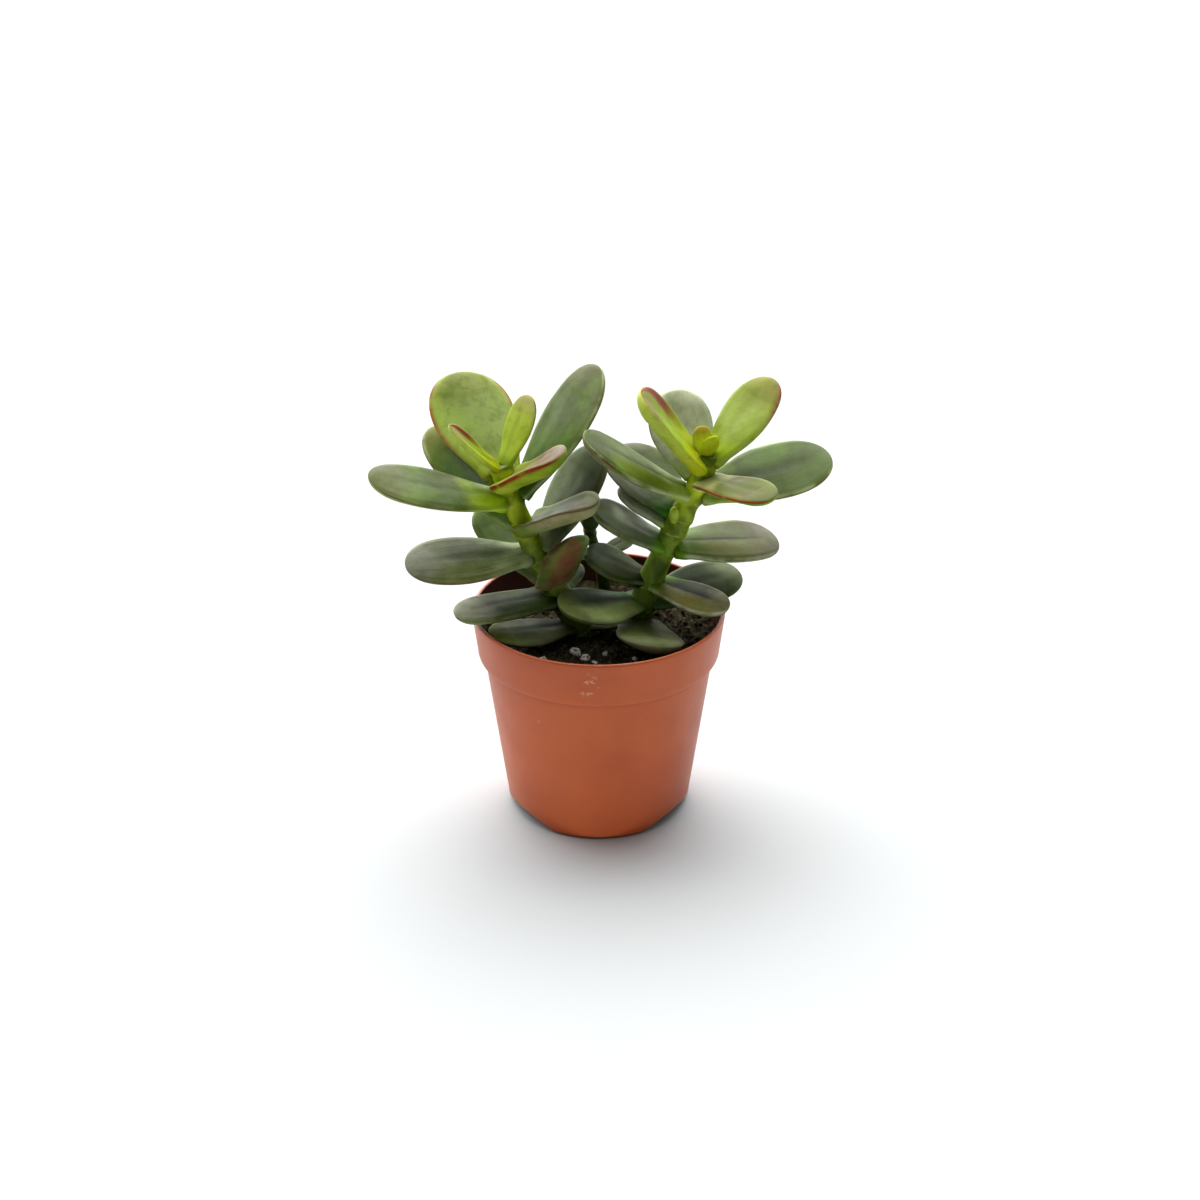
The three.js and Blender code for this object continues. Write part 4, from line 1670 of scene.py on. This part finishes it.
@dataclass
class Shoot:
    """A fleshy stem with its leaves in opposite pairs."""

    name: str
    foot_radius: float
    tip_radius: float
    path: tuple[tuple[float, float, float], ...]
    pairs: tuple[Pair, ...]
    stubs: tuple[tuple[float, float], ...] = ()  # height and compass direction
    depth: float = 9.0
    cap: float = 0.01  # share of the length over which each end rounds off
    node_swell: float = 0.35
    node_reach: float = 1.3
    ring_height: float = 0.14  # of the scar round each node
    ring_reach: float = 0.3
    ring_drop: float = 0.9
    ring_slant: float = 0.35
    stub_radius: float = 1.1
    stub_height: float = 1.9
    stub_stalk: tuple[float, float, float] = (0.9, 0.75, 0.0)  # what its skin reads there
    segments: int = 36
    rings: int = 150
    skin: StemSkin = field(default_factory=StemSkin)

    def __post_init__(self) -> None:
        """Works out the stem's middle line, carried down into the peat."""
        x, y, z = self.path[0]
        self.line = Path([(x, y, z - self.depth), *self.path])

    def radius(self, share: np.ndarray, heights: np.ndarray) -> np.ndarray:
        """Works out the stem's radius, which tapers and swells a little at each pair of leaves.

        Args:
            share: Shares of the stem's length.
            heights: The heights there.

        Returns:
            The radius at each share.
        """
        swell = sum(hump(pair.height, self.node_reach, heights) for pair in self.pairs)
        taper = self.foot_radius + (self.tip_radius - self.foot_radius) * share
        return taper + self.node_swell * np.minimum(1, swell)

    def scars(self, heights: np.ndarray, a: np.ndarray) -> np.ndarray:
        """Works out the rings that clasping leaves leave round the stem, one below each pair.

        Args:
            heights: Heights on the stem.
            a: Angles round it.

        Returns:
            Nearness to a ring, from 0 to 1.
        """
        ring = np.zeros_like(heights)
        for pair in self.pairs:
            slant = self.ring_slant * np.cos(a - math.radians(pair.leaves[0].turn))
            ring = np.maximum(ring, hump(pair.height - self.ring_drop, self.ring_reach, heights + slant))
        return ring

    def stem(self) -> Piece:
        """Builds the stem with the scar rings of its nodes and the stumps of dropped leaves.

        Returns:
            The stem, with the attribute `stalk` that its skin reads.
        """
        stem, u, a = drawn_out_ball(f"stem_{self.name}_skin", self.segments, self.rings)
        share = np.clip((u - self.cap) / (1 - 2 * self.cap), 0, 1)
        middle = self.line.at(share)
        first, second = self.line.frames(share)
        heights = middle[:, 2]
        ring = self.scars(heights, a)
        radius = self.radius(share, heights) + self.ring_height * ring
        lobes = 1 + 0.03 * np.sin(2 * a + 0.4 * heights) + 0.02 * np.sin(3 * a - 0.23 * heights)
        cap = np.minimum(1, np.minimum(u, 1 - u) / self.cap)
        radius = radius * lobes * np.sqrt(1 - (1 - cap) ** 2)
        out = first * np.cos(a)[:, None] + second * np.sin(a)[:, None]
        move_points(stem, (middle + out * radius[:, None]) * MM)
        keep_attribute(stem, "stalk", np.stack([share, ring, a], axis=1))
        smooth(stem)
        whole = join([stem, *(self.stub(*stub) for stub in self.stubs)], stem.name)
        whole.data.materials.append(self.skin.material())
        return whole

    def stub(self, height: float, turn: float) -> Piece:
        """Builds the pale stump of a dropped leaf.

        Args:
            height: Its height on the stem.
            turn: Its compass direction.

        Returns:
            The stump.
        """
        foot = self.line.at(self.line.share_at(height))
        angle = math.radians(turn)
        stub, u, a = drawn_out_ball("stub", 20, 16)
        rise = -np.cos(math.pi * u) * self.stub_height
        radius = np.sin(math.pi * u) ** 0.8 * self.stub_radius
        x = foot[0] + self.foot_radius * math.cos(angle) + radius * np.cos(a)
        y = foot[1] + self.foot_radius * math.sin(angle) + radius * np.sin(a)
        move_points(stub, np.stack([x, y, foot[2] + rise], axis=1) * MM)
        face_outwards(stub)
        keep_attribute(stub, "stalk", np.tile(self.stub_stalk, (len(stub.data.vertices), 1)))
        smooth(stub)
        return stub

    def build(self, skins: Callable[[LeafSkin], Material]) -> None:
        """Builds and dresses the stem and its leaves.

        Args:
            skins: Gives the material of a leaf's skin.
        """
        deliver(self.stem(), "stem", f"stem_{self.name}")
        for level, pair in enumerate(self.pairs, 1):
            share = self.line.share_at(pair.height)
            foot = self.line.at(share)
            around = float(self.radius(np.array([share]), np.array([pair.height]))[0])
            for side, leaf in zip("ab", pair.leaves):
                node = f"leaf_{self.name}_{level}{side}"
                blade = leaf.build(f"{node}_blade", foot, around)
                blade.data.materials.append(skins(leaf.skin))
                deliver(blade, slot_of(node), node)


def slot_of(node: str) -> str:
    """The record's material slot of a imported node."""
    return next(part["material_slot"] for part in frame["record"]["subparts"] if part["node"] == node)


# ---------------------------------------------------------------- studio


@dataclass(frozen=True)
class Glow:
    """A bright part of the room: it fades in between two cosines of the angle from its middle."""

    towards: tuple[float, float, float]
    outer: float
    inner: float
    strength: float


@dataclass
class Studio:
    """A white floor in a room that is bright behind, with the camera at the photograph's angle."""

    tilt: float = 26.8  # degrees down
    distance: float = 600.0
    aim: tuple[float, float, float] = (0.28, 0.0, 48.5)
    focal_px: float = 2768.0
    frame_px: float = 1200.0
    sensor: float = 36.0
    floor_size: float = 6.0  # metres
    floor_tone: str = "b8bbbc"
    floor_roughness: float = 0.9
    dim: float = 0.1  # the room's strength in front
    card_size: tuple[float, float] = (0.11, 0.08)  # metres
    card_back: float = -0.02
    card_lift: float = 0.0005
    card_power: float = 0.02
    glows: tuple[Glow, ...] = (
        Glow((-0.15, 0.73, 0.67), 0.45, 0.95, 5.9),
        Glow((0.0, 0.4, 1.0), 0.0, 1.0, 0.3),
        Glow((-1.0, 0.2, 0.2), 0.5, 0.95, 0.25),
        Glow((1.0, 0.2, 0.2), 0.5, 0.95, 0.2),
    )

    def camera(self) -> None:
        """Adds the camera."""
        tilt = math.radians(self.tilt)
        x, y, z = self.aim
        data = bpy.data.cameras.new("camera")
        data.sensor_width = self.sensor
        data.lens = self.focal_px / self.frame_px * self.sensor
        data.clip_start = 0.01
        camera = bpy.data.objects.new("camera", data)
        back, up = self.distance * math.cos(tilt), self.distance * math.sin(tilt)
        camera.location = (x * MM, (y - back) * MM, (z + up) * MM)
        camera.rotation_euler = (math.pi / 2 - tilt, 0, 0)
        bpy.context.scene.collection.objects.link(camera)
        bpy.context.scene.camera = camera

    def floor(self) -> None:
        """Adds the floor."""
        deselect()
        bpy.ops.mesh.primitive_plane_add(size=self.floor_size)
        floor = take_new("floor")
        tone = linear(self.floor_tone)
        paint = Graph("white_floor").finish(tone, self.floor_roughness, Specular_IOR_Level=0.1)
        floor.data.materials.append(paint)

    def room(self) -> None:
        """Adds the room: bright above and behind the object, dim on the side that the viewer stands on."""
        world = bpy.data.worlds.new("room")
        world.use_nodes = True
        tree = world.node_tree
        way = tree.nodes.new("ShaderNodeTexCoord").outputs["Generated"]
        total = None
        for glow in self.glows:
            part = tree.nodes.new("ShaderNodeVectorMath")
            part.operation = "DOT_PRODUCT"
            part.inputs[1].default_value = Vector(glow.towards).normalized()
            tree.links.new(way, part.inputs[0])
            ramp = tree.nodes.new("ShaderNodeMapRange")
            ramp.interpolation_type = "SMOOTHSTEP"
            ramp.inputs["From Min"].default_value = glow.outer
            ramp.inputs["From Max"].default_value = glow.inner
            ramp.inputs["To Max"].default_value = glow.strength
            tree.links.new(part.outputs["Value"], ramp.inputs["Value"])
            add = tree.nodes.new("ShaderNodeMath")
            tree.links.new(ramp.outputs[0], add.inputs[0])
            add.inputs[1].default_value = self.dim
            if total is not None:
                tree.links.new(total, add.inputs[1])
            total = add.outputs[0]
        tree.links.new(total, tree.nodes["Background"].inputs["Strength"])
        tree.nodes["Background"].inputs["Color"].default_value = (1, 1, 1, 1)
        bpy.context.scene.world = world
        bpy.context.scene.view_settings.view_transform = "Standard"

    def reflector(self) -> None:
        """Adds the card that throws light up at the pot's front from the floor."""
        width, depth = self.card_size
        data = bpy.data.lights.new("card", "AREA")
        data.shape = "RECTANGLE"
        data.size, data.size_y = width, depth
        data.energy = self.card_power
        card = bpy.data.objects.new("card", data)
        card.location = (0, self.card_back - depth / 2, self.card_lift)
        card.rotation_euler = (math.pi, 0, 0)
        card.visible_camera = False
        card.visible_glossy = False
        bpy.context.scene.collection.objects.link(card)

    def build(self) -> None:
        """Builds the studio."""
        self.camera()
        self.floor()
        self.room()
        self.reflector()


# ---------------------------------------------------------------- the plant


def leaves_at(height: float, *leaves: Leaf) -> Pair:
    """A pair of leaves at a height, or the single leaf that is left of one."""
    return Pair(height, leaves)


LEFT = Shoot(
    name="left",
    foot_radius=2.9,
    tip_radius=2.1,
    path=((-3, 0, 40), (-7.8, 0, 48), (-13.2, 0, 59.4), (-16.8, 0, 68), (-19.6, 0, 76), (-20.8, 0, 80.5)),
    pairs=(
        leaves_at(
            42.6,
            Leaf(208.6, 1, 22, 11, LOWEST, bend=12, roll=-7),
            Leaf(5, 2, 10, 7, SHADED),
        ),
        leaves_at(
            49.5,
            Leaf(205, -0.5, 24.3, 13, ASHEN, bend=3, cup=10, base=0.7),
            Leaf(84, 3, 16, 9, SHADED),
        ),
        leaves_at(
            52.5,
            Leaf(312, 56, 15, 13, MAUVE, bend=15, base=0.75),
            Leaf(139, 26, 24, 15, DEEP, bend=10),
        ),
        leaves_at(
            59.7,
            Leaf(198, 2, 29, 16.5, STREAKED, roll=-12),
            Leaf(31, 51.5, 26.6, 16.4, SLATE, bend=4),
        ),
        leaves_at(
            65.8,
            Leaf(322, 28, 22.2, 13, OLIVE, bend=2, roll=6, cup=42, base=0.8),
            Leaf(144, 27, 30.4, 17, FOREST, bend=15),
        ),
        leaves_at(
            72.3,
            Leaf(197, 12, 32.5, 16, SAGE, bend=10, roll=-10, base=0.4),
            Leaf(28, 45, 34, 17.5, GREEN, bend=15),
        ),
        leaves_at(
            76.3,
            Leaf(314, 28, 20.8, 13, BLUSHED, bend=12, roll=12, cup=38, base=0.8),
            Leaf(120, 30, 28.5, 19.5, MOTTLED, bend=15, base=0.4),
        ),
        leaves_at(
            79.3,
            Leaf(213, 38, 18.8, 6.4, FOLDED, bend=16, roll=-25, cup=45, base=0.4),
            Leaf(40, 58, 17, 8.5, YOUNG, bend=10),
        ),
    ),
)

RIGHT = Shoot(
    name="right",
    skin=StemSkin(top="abbe1c", middle="68821c", foot="435618"),
    foot_radius=3.0,
    tip_radius=2.2,
    path=((8.4, 0, 40), (9.6, 0, 48), (12.7, 0, 57), (17.7, 0, 69), (21.4, 0, 77), (23, 0, 83)),
    pairs=(
        leaves_at(
            43.5,
            Leaf(281, 2, 18.4, 14.6, LEDGE, bend=13, roll=-10, cup=4, base=0.6),
            Leaf(85, 4, 13, 10, SHADED),
        ),
        leaves_at(
            48,
            Leaf(210, 7, 20.5, 15, BANDED, bend=5, roll=-8),
            Leaf(20, 8, 23, 14, SHADED_DUSKY, roll=12),
        ),
        leaves_at(
            53,
            Leaf(334, -11, 18.5, 12.5, CREASED, bend=5, base=0.5),
            Leaf(165, 17, 15.6, 13, SHADED_SMOKY, bend=10),
        ),
        leaves_at(
            61.6,
            Leaf(191, 30.5, 19.2, 12, BLOOMED, bend=5, roll=-15, cup=14, base=0.5),
            Leaf(16, -5, 25.5, 15, RIMMED, roll=12, base=0.5),
        ),
        leaves_at(65.8, Leaf(152, 27, 15, 9, LIT_MISTY)),
        leaves_at(69, Leaf(132, 21, 22, 17, STEELY, bend=10)),
        leaves_at(
            73.5,
            Leaf(200, 30, 30, 14.5, GLINTED, bend=10, roll=-14),
            Leaf(20, 4, 32, 18, FERN, bend=10, roll=14),
        ),
        leaves_at(
            77,
            Leaf(314, 6.6, 21.3, 10.4, ROSY, roll=7, cup=18, base=0.6),
            Leaf(120, 35.5, 20.5, 15.5, LIT_SOFT, bend=42),
        ),
        leaves_at(
            80.2,
            Leaf(200, 43.3, 24.3, 14.4, FOLDED, bend=18, roll=-18, cup=34, base=0.62),
            Leaf(35, 34, 24, 14.5, BRIGHT, bend=15),
        ),
        leaves_at(82, Leaf(300, 68, 6.5, 4.5, TINY), Leaf(120, 68, 7, 5, TINY)),
    ),
    stubs=((69.8, 228),),
)

MIDDLE = Shoot(
    name="middle",
    # painted shade: a dark copy of the stem skin, for the shoot deep inside the plant
    skin=StemSkin(top="3a4c18", middle="2c3c14", foot="242c12", ring="46543a"),
    foot_radius=1.7,
    tip_radius=1.1,
    path=((1.5, 14, 40), (0.6, 13.5, 49), (-1.4, 12.5, 57), (-2.2, 12, 60.5)),
    pairs=(
        leaves_at(52.5, Leaf(205, 15, 8.5, 5.5, SHADED), Leaf(25, 20, 9, 6, SHADED)),
        leaves_at(59.5, Leaf(280, 50, 7, 4.5, SHADED, cup=30), Leaf(100, 50, 7.5, 5, SHADED, cup=30)),
    ),
)


def skin_shelf() -> Callable[[LeafSkin], Material]:
    """Sets up a shelf of leaf materials, each made when a leaf first asks for it.

    Returns:
        The way to fetch one from it.
    """
    made: dict[str, Material] = {}

    def fetch(skin: LeafSkin) -> Material:
        """Fetches the material of one skin.

        Args:
            skin: The skin.

        Returns:
            Its material.
        """
        if skin.name not in made:
            made[skin.name] = skin.material()
        return made[skin.name]

    return fetch


def main() -> None:
    """Builds the studio, the pot, the peat and the shoots, in that order."""
    logging.basicConfig(level=logging.INFO, format="%(name)s %(message)s")
    Studio().build()
    pot = Pot()
    pot.build()
    Soil(pot).build()
    skins = skin_shelf()
    for shoot in (LEFT, RIGHT, MIDDLE):
        shoot.build(skins)


if __name__ == "__main__":
    main()
